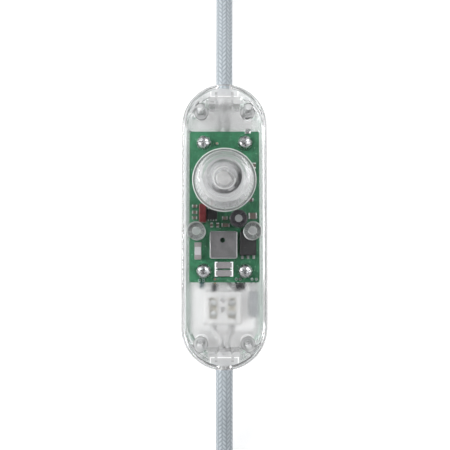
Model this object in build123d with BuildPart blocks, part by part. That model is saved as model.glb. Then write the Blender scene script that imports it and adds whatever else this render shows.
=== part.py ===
from build123d import *

import os
from math import cos, hypot, radians, sin, tan

# A clear in-line rotary dimmer on a round, fabric-braided flex, in millimetres.
# It lies on its flat back. +Z is up, out of the knob, and +Y is towards the lamp.
# The origin is under the middle of the housing, on the surface that it lies on.

# Housing. Its length comes from the board and what lies past the board's two ends.
BODY_WIDTH = 33.75
BODY_HEIGHT = 21.5
PARTING_Z = 9.5
WALL = 1.8
FLOOR = 1.6
ROOF = 1.6
SHELL_DRAFT = 2.0
BASE_FILLET = 2.4
ROOF_FILLET = 1.4
TONGUE_HEIGHT = 1.2
TONGUE_THICKNESS = 0.8
SEAM_NOTCH = 1.2
SEAM_NOTCH_ANGLE = 32.0
FIT_GAP = 0.1
SEAM_GAP = 0.05
RUNNING_GAP = 0.3

# Housing screws, driven from below into the four corner bosses
CORNER_X = 9.4
CORNER_INSET = 8.9
CORNER_BOSS_R = 2.95
CORNER_PILLAR_R = 1.9
CORNER_WEB = 0.9
HOUSING_SCREW_R = 1.05
HOUSING_SCREW_LENGTH = 10.5
HOUSING_HEAD_R = 2.0
HOUSING_HEAD_HEIGHT = 1.5
HOUSING_HEAD_SUNK = 3.0
PILOT_CLEARANCE = 0.1
PILOT_DEPTH = 7.5

# Flex, its inner sheath and its two cores
CORD_DIAMETER = 6.7
SHEATH_DIAMETER = 5.4
CORE_DIAMETER = 2.2
CONDUCTOR_DIAMETER = 1.2
CORE_SPACING = 2.6
BRAID_INSET = 0.6
SHEATH_PROUD = 1.0
MAINS_CORE_ROOM = 8.8
LAMP_CORE_ROOM = 9.0

# Cord clamp at each end, between two cheeks of the lower shell
CLAMP_WIDTH = 12.5
CLAMP_LENGTH = 3.0
CLAMP_END_INSET = 3.5
CLAMP_RISE = 4.2
CLAMP_LIFT = 0.4
CHEEK_THICKNESS = 1.0
CHEEK_RISE = 2.0
CHEEK_SETBACK = 0.8
CRADLE_RIB = 1.2
PRY_SLOT_WIDTH = 3.2
PRY_SLOT_DEPTH = 0.9

# Circuit board
BOARD_LENGTH = 61.2
BOARD_WIDTH = 28.2
BOARD_THICKNESS = 1.6
BOARD_Z = 7.0
BOARD_CORNER = 1.0
BOARD_SCREW_X = 8.35
BOARD_SCREW_TOP_INSET = 4.75
BOARD_SCREW_LOW_INSET = 4.55
BOARD_SCREW_R = 1.25
BOARD_SCREW_LENGTH = 6.0
BOARD_HEAD_R = 3.0
BOARD_HEAD_HEIGHT = 2.1
BOARD_BOSS_R = 3.2
ROOF_RIB_WIDTH = 2.4
PIN_DIAMETER = 0.7
PIN_REACH = 0.9
SOLDER_R = 0.65

# Posts of the upper shell that press on the board and on the power package, each on a soft pad
POST_X = 11.0
POST_FROM_EDGE = 20.3
POST_R = 3.5
PAD_THICKNESS = 0.8
POST_BORE_R = 1.6
POST_BORE_DEPTH = 6.0

# Knob
KNOB_FROM_EDGE = 39.5
KNOB_GAP = 0.5
KNOB_HEIGHT = 11.0
KNOB_FLANGE_R = 12.25
KNOB_FLANGE_THICKNESS = 1.4
KNOB_BASE_R = 11.4
KNOB_TOP_R = 9.5
KNOB_WALL = 1.4
KNOB_ROOF = 1.6
KNOB_TOP_FILLET = 0.7
KNOB_FLANGE_FILLET = 0.4
WELL_R = 6.3
WELL_WALL = 0.85
WELL_DEPTH = 8.0
WELL_FLOOR = 1.2
COLLAR_DEPTH = 1.4
HUB_R = 4.4
HUB_FLAT = 3.27
HUB_DROP = 4.5
KNOB_RIB_WIDTH = 2.6
KNOB_RIB_DROP = 0.6
FLUTE_COUNT = 48
FLUTE_R = 0.32
FLAT_ANGLE = 34.0

# Rotary control under the knob
SHAFT_R = 3.0
SHAFT_FLAT = 2.0
SHAFT_FIT = 0.05
SHAFT_TOP_DROP = 0.3
POT_R = 8.0
POT_HEIGHT = 6.0
POT_WALL = 1.1
POT_FLOOR = 1.4
TRACK_THICKNESS = 0.8
ROTOR_R = 5.8
ROTOR_THICKNESS = 1.8
WIPER_R = 5.4
WIPER_THICKNESS = 0.5
PIVOT_R = 1.2
COVER_THICKNESS = 0.6
COVER_TAB_WIDTH = 2.0
BUSHING_R = 3.5
BUSHING_NECK_R = 4.0
BUSHING_FLANGE_R = 4.9
BUSHING_FLANGE = 1.2
POT_TERMINAL_PITCH = 3.5
POT_TERMINAL_REACH = 9.4
POT_TERMINAL_WIDTH = 1.2
POT_TERMINAL_THICKNESS = 0.35
POT_TERMINAL_TAIL = 0.45

# Components on the board, placed from the middle of its lower edge
SHIELD_SIZE = 10.9
SHIELD_HEIGHT = 2.6
SHIELD_WALL = 0.4
SHIELD_HOLE_R = 1.0
SHIELD_PLACE = (-0.35, 15.0)
SHIELD_HOLE_OFFSET = (-0.35, 1.85)
CAPACITOR_R = 3.35
CAPACITOR_HEIGHT = 7.4
CAPACITOR_TOP_R = 1.5
SLEEVE_THICKNESS = 0.15
CAPACITOR_PLACE = (5.6, 25.25)
CAPACITOR_PITCH = 2.5
FILM_SIZE = (2.8, 7.4, 6.2)
FILM_PLACE = (-8.6, 27.5)
FILM_PITCH = 5.0
CONTROL_SIZE = (4.1, 3.9, 1.5)
CONTROL_PLACE = (-4.95, 27.4)
CONTROL_LEG = 0.75
CONTROL_LEG_WIDTH = 0.4
CONTROL_LEG_PITCH = 1.05
PACKAGE_SIZE = (6.5, 9.2, 2.3)
PACKAGE_PLACE = (9.45, 15.45)
PACKAGE_LEG = 1.4
PACKAGE_LEG_WIDTH = 0.9
PACKAGE_LEG_PITCH = 2.3
PACKAGE_TAB = 1.2
FUSE_SIZE = (2.6, 6.7, 1.6)
FUSE_PLACE = (-10.6, 12.6)
RESISTOR_SIZE = (7.4, 2.6, 1.1)
RESISTOR_X = -0.05
RESISTOR_YS = (6.9, 3.7)
LEG_THICKNESS = 0.5
SMALL_CHIP_HEIGHT = 0.7
SMALL_CHIPS = [
    (11.4, 26.7, 3.2, 2.4),
    (10.4, 33.2, 2.4, 1.3),
    (12.0, 47.1, 1.3, 2.2),
    (-5.2, 23.0, 1.0, 1.8),
    (-2.7, 23.0, 1.0, 1.8),
    (0.5, 23.0, 3.2, 1.4),
    (-12.0, 30.6, 2.0, 1.1),
    (-12.0, 28.2, 2.0, 1.1),
    (-12.0, 26.0, 2.0, 1.1),
    (0.2, 25.8, 2.2, 1.3),
]

# Parts that stand in the lower shell, past the board's lower edge
TERMINAL_GAP = 3.8
TERMINAL_X = -0.7
TERMINAL_PITCH = 7.4
TERMINAL_SIZE = (15.4, 13.0, 7.2)
INSERT_SIZE = (3.0, 8.3, 4.4)
INSERT_Z = 5.4
INSERT_BORE_R = 0.75
TERMINAL_MOUTH_R = 1.3
TERMINAL_SCREW_R = 0.9
TERMINAL_SCREW_HEAD_R = 1.3
TERMINAL_SCREW_HEAD = 0.9
TERMINAL_SCREW_SPACING = 4.3
PEG_R = 1.0
PEG_YS = (3.4, -0.4)
PEG_HEIGHT = 6.0
SUPPRESSOR_SIZE = (3.4, 10.1, 6.0)
SUPPRESSOR_X = 11.9
SUPPRESSOR_LEAD_Z = 4.0
SUPPRESSOR_PITCH = 1.8
LEAD_EDGE_INSET = 1.3
CHOKE_R = 1.75
CHOKE_LENGTH = 4.1
CHOKE_X = 6.35
CHOKE_FLANGE = 0.6
CHOKE_PITCH = 1.6
VARISTOR_R = 2.0
VARISTOR_THICKNESS = 2.0
VARISTOR_X = -9.2
VARISTOR_PITCH = 1.6
GUIDE_RIB = 0.9
GUIDE_RIB_X = 13.9
GUIDE_RIB_LENGTH = 7.0
GUIDE_RIB_Z = 8.6

# Put-away lengths of flex, each folded into a hank past the end of the visible flex
LEVEL_RUN = 13.7
DROP_RUN = 16.0
FLOOR_RUN = 15.5
HANK_RUN = 63.0
HANK_BEND_R = 20.0
HANK_STEP_UP = 5.8
MAINS_LAYERS = 4
LAMP_LAYERS = 2
HANK_EDGE_FILLET = 2.5
TIE_WIDTH = 12.0
TIE_THICKNESS = 0.8
LAMP_END_RUN = 20.0
CORE_TAIL = 16.0
CORE_TAIL_RISE = 0.3

# Two-pin plug, lying askew on the mains hank
PLUG_TURN = 25.0
PLUG_BODY_LENGTH = 36.0
PLUG_WIDTH = 35.3
PLUG_THICKNESS = 13.7
PLUG_REAR_WIDTH = 15.0
PLUG_REAR_THICKNESS = 12.0
PLUG_CORNER = 4.5
PLUG_CROWN = 0.16
RELIEF_LENGTH = 22.0
RELIEF_TIP_R = 3.9
RELIEF_ROOT_R = 5.4
PLUG_PIN_R = 2.0
PLUG_PIN_CORE_R = 1.5
PLUG_PIN_LENGTH = 19.0
PLUG_SLEEVE_LENGTH = 10.0
PLUG_PIN_SPACING = 18.6

# Share of the shorter run that each arc of a wire takes up
ARC_SHARE = 0.45

# Places that several pieces share
SHEATH_END_INSET = CLAMP_END_INSET + CLAMP_LENGTH + SHEATH_PROUD
MAINS_END_ROOM = SHEATH_END_INSET + MAINS_CORE_ROOM + TERMINAL_SIZE[1] + TERMINAL_GAP
LAMP_END_ROOM = SHEATH_END_INSET + LAMP_CORE_ROOM
BODY_LENGTH = MAINS_END_ROOM + BOARD_LENGTH + LAMP_END_ROOM
ROOF_UNDER = BODY_HEIGHT - ROOF
END_CENTRE_Y = (BODY_LENGTH - BODY_WIDTH) / 2
CORNER_Y = BODY_LENGTH / 2 - CORNER_INSET
CORNERS = [(x, y) for x in (-CORNER_X, CORNER_X) for y in (-CORNER_Y, CORNER_Y)]
CORD_RADIUS = CORD_DIAMETER / 2
SHEATH_RADIUS = SHEATH_DIAMETER / 2
CORE_RADIUS = CORE_DIAMETER / 2
CONDUCTOR_RADIUS = CONDUCTOR_DIAMETER / 2
PIN_RADIUS = PIN_DIAMETER / 2
CORD_Z = PARTING_Z
CLAMP_OUTER_Y = BODY_LENGTH / 2 - CLAMP_END_INSET
CLAMP_INNER_Y = CLAMP_OUTER_Y - CLAMP_LENGTH
CLAMP_Y = (CLAMP_OUTER_Y + CLAMP_INNER_Y) / 2
CLAMP_TOP = PARTING_Z + CLAMP_RISE
CHEEK_X = CLAMP_WIDTH / 2 + FIT_GAP + CHEEK_THICKNESS / 2
BRAID_END_Y = BODY_LENGTH / 2 - BRAID_INSET
SHEATH_END_Y = BODY_LENGTH / 2 - SHEATH_END_INSET
BOARD_TOP = BOARD_Z + BOARD_THICKNESS
BOARD_LOW_EDGE = MAINS_END_ROOM - BODY_LENGTH / 2
BOARD_Y = BOARD_LOW_EDGE + BOARD_LENGTH / 2
BOARD_TOP_EDGE = BOARD_LOW_EDGE + BOARD_LENGTH
SCREW_TOP_Y = BOARD_TOP_EDGE - BOARD_SCREW_TOP_INSET
SCREW_LOW_Y = BOARD_LOW_EDGE + BOARD_SCREW_LOW_INSET
BOARD_SCREWS = [(x, y) for x in (-BOARD_SCREW_X, BOARD_SCREW_X) for y in (SCREW_LOW_Y, SCREW_TOP_Y)]
POSTS = [(side * POST_X, BOARD_LOW_EDGE + POST_FROM_EDGE) for side in (-1, 1)]
PAD_ZS = (BOARD_TOP, BOARD_TOP + PACKAGE_SIZE[2])
KNOB_Y = BOARD_LOW_EDGE + KNOB_FROM_EDGE
KNOB_PLANE = Plane.XZ.offset(-KNOB_Y)
KNOB_AXIS = Axis((0, KNOB_Y, 0), (0, 0, 1))
KNOB_BASE = BODY_HEIGHT + KNOB_GAP
KNOB_TOP = KNOB_BASE + KNOB_HEIGHT
COLLAR_R = WELL_R + WELL_WALL
HUB_TOP = KNOB_TOP - HUB_DROP
WELL_FLOOR_Z = KNOB_TOP - WELL_DEPTH
TRACK_Z = BOARD_TOP + POT_FLOOR
TRACK_TOP = TRACK_Z + TRACK_THICKNESS
WIPER_Z = TRACK_TOP + RUNNING_GAP
ROTOR_Z = WIPER_Z + WIPER_THICKNESS
POT_TOP = BOARD_TOP + POT_HEIGHT
COVER_TOP = POT_TOP + COVER_THICKNESS
BUSHING_TOP = KNOB_BASE - COLLAR_DEPTH
TERMINAL_FACE_Y = BOARD_LOW_EDGE - TERMINAL_GAP
TERMINAL_Y = TERMINAL_FACE_Y - TERMINAL_SIZE[1] / 2
TERMINAL_XS = (TERMINAL_X - TERMINAL_PITCH / 2, TERMINAL_X + TERMINAL_PITCH / 2)
TERMINAL_TOP = FLOOR + TERMINAL_SIZE[2]
INSERT_TOP = INSERT_Z + INSERT_SIZE[2] / 2
LEAD_Y = BOARD_LOW_EDGE + LEAD_EDGE_INSET
HANK_START = BRAID_END_Y + LEVEL_RUN + DROP_RUN + FLOOR_RUN
HANK_OUTER_R = HANK_BEND_R + 2 * CORD_RADIUS
HANK_LENGTH = HANK_RUN + 2 * HANK_OUTER_R
HANK_MIDDLE = HANK_START + HANK_LENGTH / 2
HANK_TURN_Y = HANK_START + HANK_OUTER_R


def on_board(place):
    """Give the place in the housing of a point measured from the board's lower edge."""
    return (place[0], BOARD_LOW_EDGE + place[1])


def hank_height(layers):
    """Give the height of a hank of this many layers on its tie."""
    return TIE_THICKNESS + CORD_DIAMETER + (layers - 1) * HANK_STEP_UP


def corner_radii(points, name):
    """Give each corner of a route the largest arc its two runs allow, and print them."""
    radii = []
    for before, corner, after in zip(points, points[1:], points[2:]):
        run_in = Vector(*corner) - Vector(*before)
        run_out = Vector(*after) - Vector(*corner)
        half_turn = radians(run_in.get_angle(run_out)) / 2
        radii.append(ARC_SHARE * min(run_in.length, run_out.length) / tan(half_turn))
    print(name, "arc radii:", [round(radius, 1) for radius in radii])
    return radii


def round_wire(points, radius, name):
    """Sweep a round section along straight runs that are joined by tangent arcs."""
    with BuildPart() as tube:
        with BuildLine() as route:
            FilletPolyline(*points, radius=corner_radii(points, name))
        with BuildSketch(Plane(origin=route.wire() @ 0, z_dir=route.wire() % 0)):
            Circle(radius)
        sweep()
    return tube.part


def straight_rod(start, end, radius):
    """Make a round rod from one point to another."""
    run = Vector(*end) - Vector(*start)
    with BuildPart() as rod:
        with BuildSketch(Plane(origin=start, z_dir=run.normalized())):
            Circle(radius)
        extrude(amount=run.length)
    return rod.part


def pan_screw(shank_r, shank_length, head_r, head_height):
    """Make a cross-recess pan-head screw. Its head stands on the XY plane, with its shank below."""
    recess_length = 1.3 * head_r
    recess_width = 0.3 * head_r
    recess_depth = 0.55 * head_height
    with BuildPart() as screw:
        with BuildSketch(Plane.XY):
            Circle(head_r)
        extrude(amount=head_height)
        fillet(screw.faces().sort_by(Axis.Z)[-1].edges(), 0.7 * head_height)
        with BuildSketch(Plane.XY):
            Circle(shank_r)
        extrude(amount=-shank_length)
        chamfer(screw.faces().sort_by(Axis.Z)[0].edges(), 0.5 * shank_r)
        with BuildSketch(Plane.XY.offset(head_height)):
            Rectangle(recess_length, recess_width)
            Rectangle(recess_width, recess_length)
        extrude(amount=-recess_depth, mode=Mode.SUBTRACT)
    return screw.part


def cased_block(size, fillet_r):
    """Make a rectangular component that stands on the XY plane, its upright edges rounded."""
    with BuildPart() as block:
        with BuildSketch():
            RectangleRounded(size[0], size[1], fillet_r)
        extrude(amount=size[2])
        chamfer(block.faces().sort_by(Axis.Z)[-1].edges(), fillet_r / 2)
    return block.part


os.makedirs("parts", exist_ok=True)

# Lower shell: a drafted tray with a tongue round its rim, bosses, cradles and ribs
with BuildPart() as lower_shell:
    with BuildSketch(Plane.XY.offset(PARTING_Z)):
        SlotOverall(BODY_LENGTH, BODY_WIDTH, rotation=90)
    extrude(amount=-PARTING_Z, taper=SHELL_DRAFT)
    fillet(lower_shell.faces().sort_by(Axis.Z)[0].edges(), BASE_FILLET)
    with BuildSketch(Plane.XY.offset(PARTING_Z)):
        SlotOverall(BODY_LENGTH - 2 * WALL, BODY_WIDTH - 2 * WALL, rotation=90)
    extrude(amount=FLOOR - PARTING_Z, taper=SHELL_DRAFT, mode=Mode.SUBTRACT)

    # Tongue, split by a notch at each corner
    tongue_inset = WALL - TONGUE_THICKNESS
    with BuildSketch(Plane.XY.offset(PARTING_Z)):
        SlotOverall(BODY_LENGTH - 2 * tongue_inset, BODY_WIDTH - 2 * tongue_inset, rotation=90)
        SlotOverall(BODY_LENGTH - 2 * WALL, BODY_WIDTH - 2 * WALL, rotation=90, mode=Mode.SUBTRACT)
        for side in (-1, 1):
            for end in (-1, 1):
                reach = BODY_WIDTH / 2 - WALL / 2
                notch_x = side * reach * cos(radians(SEAM_NOTCH_ANGLE))
                notch_y = end * (END_CENTRE_Y + reach * sin(radians(SEAM_NOTCH_ANGLE)))
                with Locations((notch_x, notch_y)):
                    Rectangle(
                        2 * WALL,
                        SEAM_NOTCH,
                        rotation=side * end * SEAM_NOTCH_ANGLE,
                        mode=Mode.SUBTRACT,
                    )
    extrude(amount=TONGUE_HEIGHT)

    # Bosses for the board screws, and tubes under the press posts
    with BuildSketch(Plane.XY.offset(FLOOR)):
        with Locations(*BOARD_SCREWS):
            Circle(BOARD_BOSS_R)
        with Locations(*POSTS):
            Circle(POST_R - 1)
            Circle(POST_BORE_R, mode=Mode.SUBTRACT)
    extrude(amount=BOARD_Z - FLOOR)
    with BuildSketch(Plane.XY.offset(BOARD_Z)):
        with Locations(*BOARD_SCREWS):
            Circle(BOARD_SCREW_R + PILOT_CLEARANCE / 2)
    extrude(amount=FLOOR + 0.4 - BOARD_Z, mode=Mode.SUBTRACT)

    # Corner towers with their webs to the wall, and guide ribs beside them
    with BuildSketch(Plane.XY.offset(FLOOR)):
        with Locations(*CORNERS):
            Circle(CORNER_BOSS_R)
        for side in (-1, 1):
            for end in (-1, 1):
                corner_r = hypot(CORNER_X, CORNER_Y - END_CENTRE_Y)
                web_length = BODY_WIDTH / 2 - WALL / 2 - corner_r
                web_turn = radians(SEAM_NOTCH_ANGLE)
                web_x = side * (CORNER_X + cos(web_turn) * web_length / 2)
                web_y = end * (CORNER_Y + sin(web_turn) * web_length / 2)
                with Locations((web_x, web_y)):
                    Rectangle(web_length, CORNER_WEB, rotation=side * end * SEAM_NOTCH_ANGLE)
    extrude(amount=PARTING_Z - FLOOR)
    with BuildSketch(Plane.XY.offset(FLOOR)):
        for side in (-1, 1):
            for end in (-1, 1):
                rib_y = end * (CORNER_Y - GUIDE_RIB_LENGTH / 2 - RUNNING_GAP)
                with Locations((side * GUIDE_RIB_X, rib_y)):
                    Rectangle(GUIDE_RIB, GUIDE_RIB_LENGTH)
    extrude(amount=GUIDE_RIB_Z - FLOOR)

    # Cradle ribs for the sheath and cheeks for the clamp at each end
    for end in (-1, 1):
        with BuildSketch(Plane.XY.offset(FLOOR)):
            for rib_y in (CLAMP_INNER_Y + CRADLE_RIB / 2, CLAMP_OUTER_Y - CRADLE_RIB / 2):
                with Locations((0, end * rib_y)):
                    Rectangle(CLAMP_WIDTH, CRADLE_RIB)
        extrude(amount=PARTING_Z - FLOOR)
        with BuildSketch(Plane.XY.offset(FLOOR)):
            cheek_y = end * (CLAMP_Y - CHEEK_SETBACK / 2)
            with Locations((-CHEEK_X, cheek_y), (CHEEK_X, cheek_y)):
                Rectangle(CHEEK_THICKNESS, CLAMP_LENGTH - CHEEK_SETBACK)
        extrude(amount=PARTING_Z + CHEEK_RISE - FLOOR)
        with Locations((0, end * CLAMP_Y, CORD_Z)):
            Cylinder(
                SHEATH_RADIUS + FIT_GAP / 2,
                2 * (CLAMP_END_INSET + CLAMP_LENGTH),
                rotation=(90, 0, 0),
                mode=Mode.SUBTRACT,
            )
        with Locations((0, end * BODY_LENGTH / 2, CORD_Z)):
            Cylinder(
                CORD_RADIUS + FIT_GAP,
                2 * (BRAID_INSET + FIT_GAP),
                rotation=(90, 0, 0),
                mode=Mode.SUBTRACT,
            )

    # Pegs for the terminal block
    with BuildSketch(Plane.XY.offset(FLOOR)):
        with Locations(*[(TERMINAL_X, TERMINAL_Y + y) for y in PEG_YS]):
            Circle(PEG_R)
    extrude(amount=PEG_HEIGHT)

    # Counterbored holes for the housing screws
    for x, y in CORNERS:
        with Locations(Plane(origin=(x, y, 0), z_dir=(0, 0, -1))):
            CounterBoreHole(
                radius=HOUSING_SCREW_R + 2 * FIT_GAP,
                counter_bore_radius=HOUSING_HEAD_R + 2 * FIT_GAP,
                counter_bore_depth=HOUSING_HEAD_SUNK,
            )
lower_shell.part.label = "lower_shell"
export_step(lower_shell.part, "parts/lower_shell.step")

# Upper shell: a drafted cover with the knob hole, pillars and press posts
with BuildPart() as upper_shell:
    rim_z = PARTING_Z + SEAM_GAP
    with BuildSketch(Plane.XY.offset(rim_z)):
        SlotOverall(BODY_LENGTH, BODY_WIDTH, rotation=90)
    extrude(amount=BODY_HEIGHT - rim_z, taper=SHELL_DRAFT)
    fillet(upper_shell.faces().sort_by(Axis.Z)[-1].edges(), ROOF_FILLET)
    with BuildSketch(Plane.XY.offset(rim_z)):
        SlotOverall(BODY_LENGTH - 2 * WALL, BODY_WIDTH - 2 * WALL, rotation=90)
    extrude(amount=ROOF_UNDER - rim_z, taper=SHELL_DRAFT, mode=Mode.SUBTRACT)

    # Rabbet over the lower shell's tongue
    rabbet_inset = WALL - TONGUE_THICKNESS - FIT_GAP
    with BuildSketch(Plane.XY.offset(PARTING_Z)):
        SlotOverall(BODY_LENGTH - 2 * rabbet_inset, BODY_WIDTH - 2 * rabbet_inset, rotation=90)
    extrude(amount=TONGUE_HEIGHT + FIT_GAP, mode=Mode.SUBTRACT)

    # Corner pillars with their pilot holes
    with BuildSketch(Plane.XY.offset(rim_z)):
        with Locations(*CORNERS):
            Circle(CORNER_PILLAR_R)
            Circle(HOUSING_SCREW_R + PILOT_CLEARANCE / 2, mode=Mode.SUBTRACT)
    extrude(amount=PILOT_DEPTH)
    with BuildSketch(Plane.XY.offset(rim_z + PILOT_DEPTH)):
        with Locations(*CORNERS):
            Circle(CORNER_PILLAR_R)
    extrude(amount=ROOF_UNDER - rim_z - PILOT_DEPTH)

    # Rib from beside the upper right board screw to the corner pillar
    rib_start_y = SCREW_TOP_Y + BOARD_HEAD_R + RUNNING_GAP
    with BuildSketch(Plane.XY.offset(PARTING_Z + TONGUE_HEIGHT)):
        with Locations((CORNER_X, (rib_start_y + CORNER_Y - HOUSING_SCREW_R - RUNNING_GAP) / 2)):
            Rectangle(ROOF_RIB_WIDTH, CORNER_Y - HOUSING_SCREW_R - RUNNING_GAP - rib_start_y)
    extrude(amount=ROOF_UNDER - PARTING_Z - TONGUE_HEIGHT)

    # Hollow press posts, the right one shorter by the height of the package under it
    for (x, y), pad_z in zip(POSTS, PAD_ZS):
        post_z = pad_z + PAD_THICKNESS
        with BuildSketch(Plane.XY.offset(post_z)):
            with Locations((x, y)):
                Circle(POST_R)
        extrude(amount=ROOF_UNDER - post_z)
        with BuildSketch(Plane.XY.offset(post_z)):
            with Locations((x, y)):
                Circle(POST_BORE_R)
        extrude(amount=POST_BORE_DEPTH, mode=Mode.SUBTRACT)

    # Two ribs that hold each cord clamp down
    for end in (-1, 1):
        with BuildSketch(Plane.XY.offset(CLAMP_TOP)):
            with Locations((-CLAMP_WIDTH / 4, end * CLAMP_Y), (CLAMP_WIDTH / 4, end * CLAMP_Y)):
                Rectangle(CHEEK_THICKNESS, CLAMP_LENGTH)
        extrude(amount=ROOF_UNDER - CLAMP_TOP)
        with Locations((0, end * BODY_LENGTH / 2, CORD_Z)):
            Cylinder(
                SHEATH_RADIUS + FIT_GAP / 2,
                2 * CLAMP_END_INSET,
                rotation=(90, 0, 0),
                mode=Mode.SUBTRACT,
            )
            Cylinder(
                CORD_RADIUS + FIT_GAP,
                2 * (BRAID_INSET + FIT_GAP),
                rotation=(90, 0, 0),
                mode=Mode.SUBTRACT,
            )

    # Hole for the knob's collar
    with BuildSketch(Plane.XY.offset(BODY_HEIGHT)):
        with Locations((0, KNOB_Y)):
            Circle(COLLAR_R + RUNNING_GAP)
    extrude(amount=-ROOF, mode=Mode.SUBTRACT)
upper_shell.part.label = "upper_shell"
export_step(upper_shell.part, "parts/upper_shell.step")

# Soft pads under the press posts
with BuildPart() as press_pads:
    for (x, y), pad_z in zip(POSTS, PAD_ZS):
        with BuildSketch(Plane.XY.offset(pad_z)):
            with Locations((x, y)):
                Circle(POST_R)
                Circle(POST_BORE_R, mode=Mode.SUBTRACT)
        extrude(amount=PAD_THICKNESS)
press_pads.part.label = "press_pads"
export_step(press_pads.part, "parts/press_pads.step")

# Housing screws, head down in their counterbores
housing_screw = pan_screw(HOUSING_SCREW_R, HOUSING_SCREW_LENGTH, HOUSING_HEAD_R, HOUSING_HEAD_HEIGHT)
with BuildPart() as housing_screws:
    for x, y in CORNERS:
        with Locations(Plane(origin=(x, y, HOUSING_HEAD_SUNK), z_dir=(0, 0, -1))):
            add(housing_screw)
housing_screws.part.label = "housing_screws"
export_step(housing_screws.part, "parts/housing_screws.step")

# Board screws
board_screw = pan_screw(BOARD_SCREW_R, BOARD_SCREW_LENGTH, BOARD_HEAD_R, BOARD_HEAD_HEIGHT)
with BuildPart() as board_screws:
    with Locations(*[(x, y, BOARD_TOP) for x, y in BOARD_SCREWS]):
        add(board_screw)
board_screws.part.label = "board_screws"
export_step(board_screws.part, "parts/board_screws.step")

# Places of the pins that pass through the board
capacitor_x, capacitor_y = on_board(CAPACITOR_PLACE)
film_x, film_y = on_board(FILM_PLACE)
capacitor_pins = [(capacitor_x + side * CAPACITOR_PITCH / 2, capacitor_y) for side in (-1, 1)]
film_pins = [(film_x, film_y + side * FILM_PITCH / 2) for side in (-1, 1)]
pot_pins = [(turn * POT_TERMINAL_PITCH, KNOB_Y + POT_TERMINAL_REACH) for turn in (-1, 0, 1)]
suppressor_pins = [(SUPPRESSOR_X + side * SUPPRESSOR_PITCH / 2, LEAD_Y) for side in (-1, 1)]
choke_pins = [(CHOKE_X + (side - 1) * CHOKE_PITCH / 2, LEAD_Y) for side in (-1, 1)]
varistor_pins = [(VARISTOR_X + side * VARISTOR_PITCH / 2, LEAD_Y - 0.5) for side in (-1, 1)]
lead_pin = (-3.8, LEAD_Y)
lamp_pin = (-3.0, BOARD_TOP_EDGE - 5.0)
pins_from_above = capacitor_pins + film_pins + pot_pins
pins_from_below = suppressor_pins + choke_pins + varistor_pins + [lead_pin, lamp_pin]

# Circuit board
with BuildPart() as circuit_board:
    with BuildSketch(Plane.XY.offset(BOARD_Z)):
        with Locations((0, BOARD_Y)):
            RectangleRounded(BOARD_WIDTH, BOARD_LENGTH, BOARD_CORNER)
        with Locations(*BOARD_SCREWS):
            Circle(BOARD_SCREW_R + 2 * FIT_GAP, mode=Mode.SUBTRACT)
        with Locations(*pins_from_above, *pins_from_below):
            Circle(PIN_RADIUS + FIT_GAP, mode=Mode.SUBTRACT)
    extrude(amount=BOARD_THICKNESS)
circuit_board.part.label = "circuit_board"
export_step(circuit_board.part, "parts/circuit_board.step")

# Solder joints, a cone round each pin on the side of the board that it comes out of
with BuildPart() as solder_joints:
    with Locations(*[(x, y, BOARD_Z - PIN_REACH / 2) for x, y in pins_from_above]):
        Cone(PIN_RADIUS + FIT_GAP, SOLDER_R, PIN_REACH)
        Cylinder(PIN_RADIUS, PIN_REACH, mode=Mode.SUBTRACT)
    with Locations(*[(x, y, BOARD_TOP + PIN_REACH / 2) for x, y in pins_from_below]):
        Cone(SOLDER_R, PIN_RADIUS + FIT_GAP, PIN_REACH)
        Cylinder(PIN_RADIUS, PIN_REACH, mode=Mode.SUBTRACT)
solder_joints.part.label = "solder_joints"
export_step(solder_joints.part, "parts/solder_joints.step")

# Body of the rotary control: a moulded cup with slots for its terminals
with BuildPart() as pot_body:
    with BuildSketch(Plane.XY.offset(BOARD_TOP)):
        with Locations((0, KNOB_Y)):
            Circle(POT_R)
    extrude(amount=POT_HEIGHT)
    with BuildSketch(Plane.XY.offset(TRACK_Z)):
        with Locations((0, KNOB_Y)):
            Circle(POT_R - POT_WALL)
    extrude(amount=POT_HEIGHT - POT_FLOOR, mode=Mode.SUBTRACT)
    with BuildSketch(Plane.XY.offset(TRACK_Z)):
        with Locations((0, KNOB_Y)):
            Circle(PIVOT_R + FIT_GAP)
    extrude(amount=-POT_FLOOR / 2, mode=Mode.SUBTRACT)
    slot_width = POT_TERMINAL_WIDTH + 2 * FIT_GAP
    with BuildSketch(Plane.XY.offset(TRACK_TOP)):
        with Locations(*[(x, KNOB_Y + POT_R) for x, y in pot_pins]):
            Rectangle(slot_width, 2 * (POT_WALL + 2))
    extrude(amount=POT_TERMINAL_THICKNESS + FIT_GAP, mode=Mode.SUBTRACT)
pot_body.part.label = "pot_body"
export_step(pot_body.part, "parts/pot_body.step")

# Resistance track
with BuildPart() as pot_track:
    with BuildSketch(Plane.XY.offset(TRACK_Z)):
        with Locations((0, KNOB_Y)):
            Circle(POT_R - POT_WALL - FIT_GAP / 2)
            Circle(PIVOT_R + FIT_GAP, mode=Mode.SUBTRACT)
    extrude(amount=TRACK_THICKNESS)
pot_track.part.label = "pot_track"
export_step(pot_track.part, "parts/pot_track.step")

# Terminals of the control, from the track's rim out of the body and down through the board
with BuildPart() as pot_terminals:
    inner_y = KNOB_Y + WIPER_R + RUNNING_GAP
    for x, y in pot_pins:
        with BuildSketch(Plane.XY.offset(TRACK_TOP)):
            with Locations((x, (inner_y + y + POT_TERMINAL_TAIL / 2) / 2)):
                Rectangle(POT_TERMINAL_WIDTH, y + POT_TERMINAL_TAIL / 2 - inner_y)
        extrude(amount=POT_TERMINAL_THICKNESS)
        with BuildSketch(Plane.XY.offset(BOARD_Z - PIN_REACH)):
            with Locations((x, y)):
                Rectangle(POT_TERMINAL_TAIL, POT_TERMINAL_TAIL)
        extrude(amount=TRACK_TOP + PIN_REACH - BOARD_Z)
pot_terminals.part.label = "pot_terminals"
export_step(pot_terminals.part, "parts/pot_terminals.step")

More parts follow.
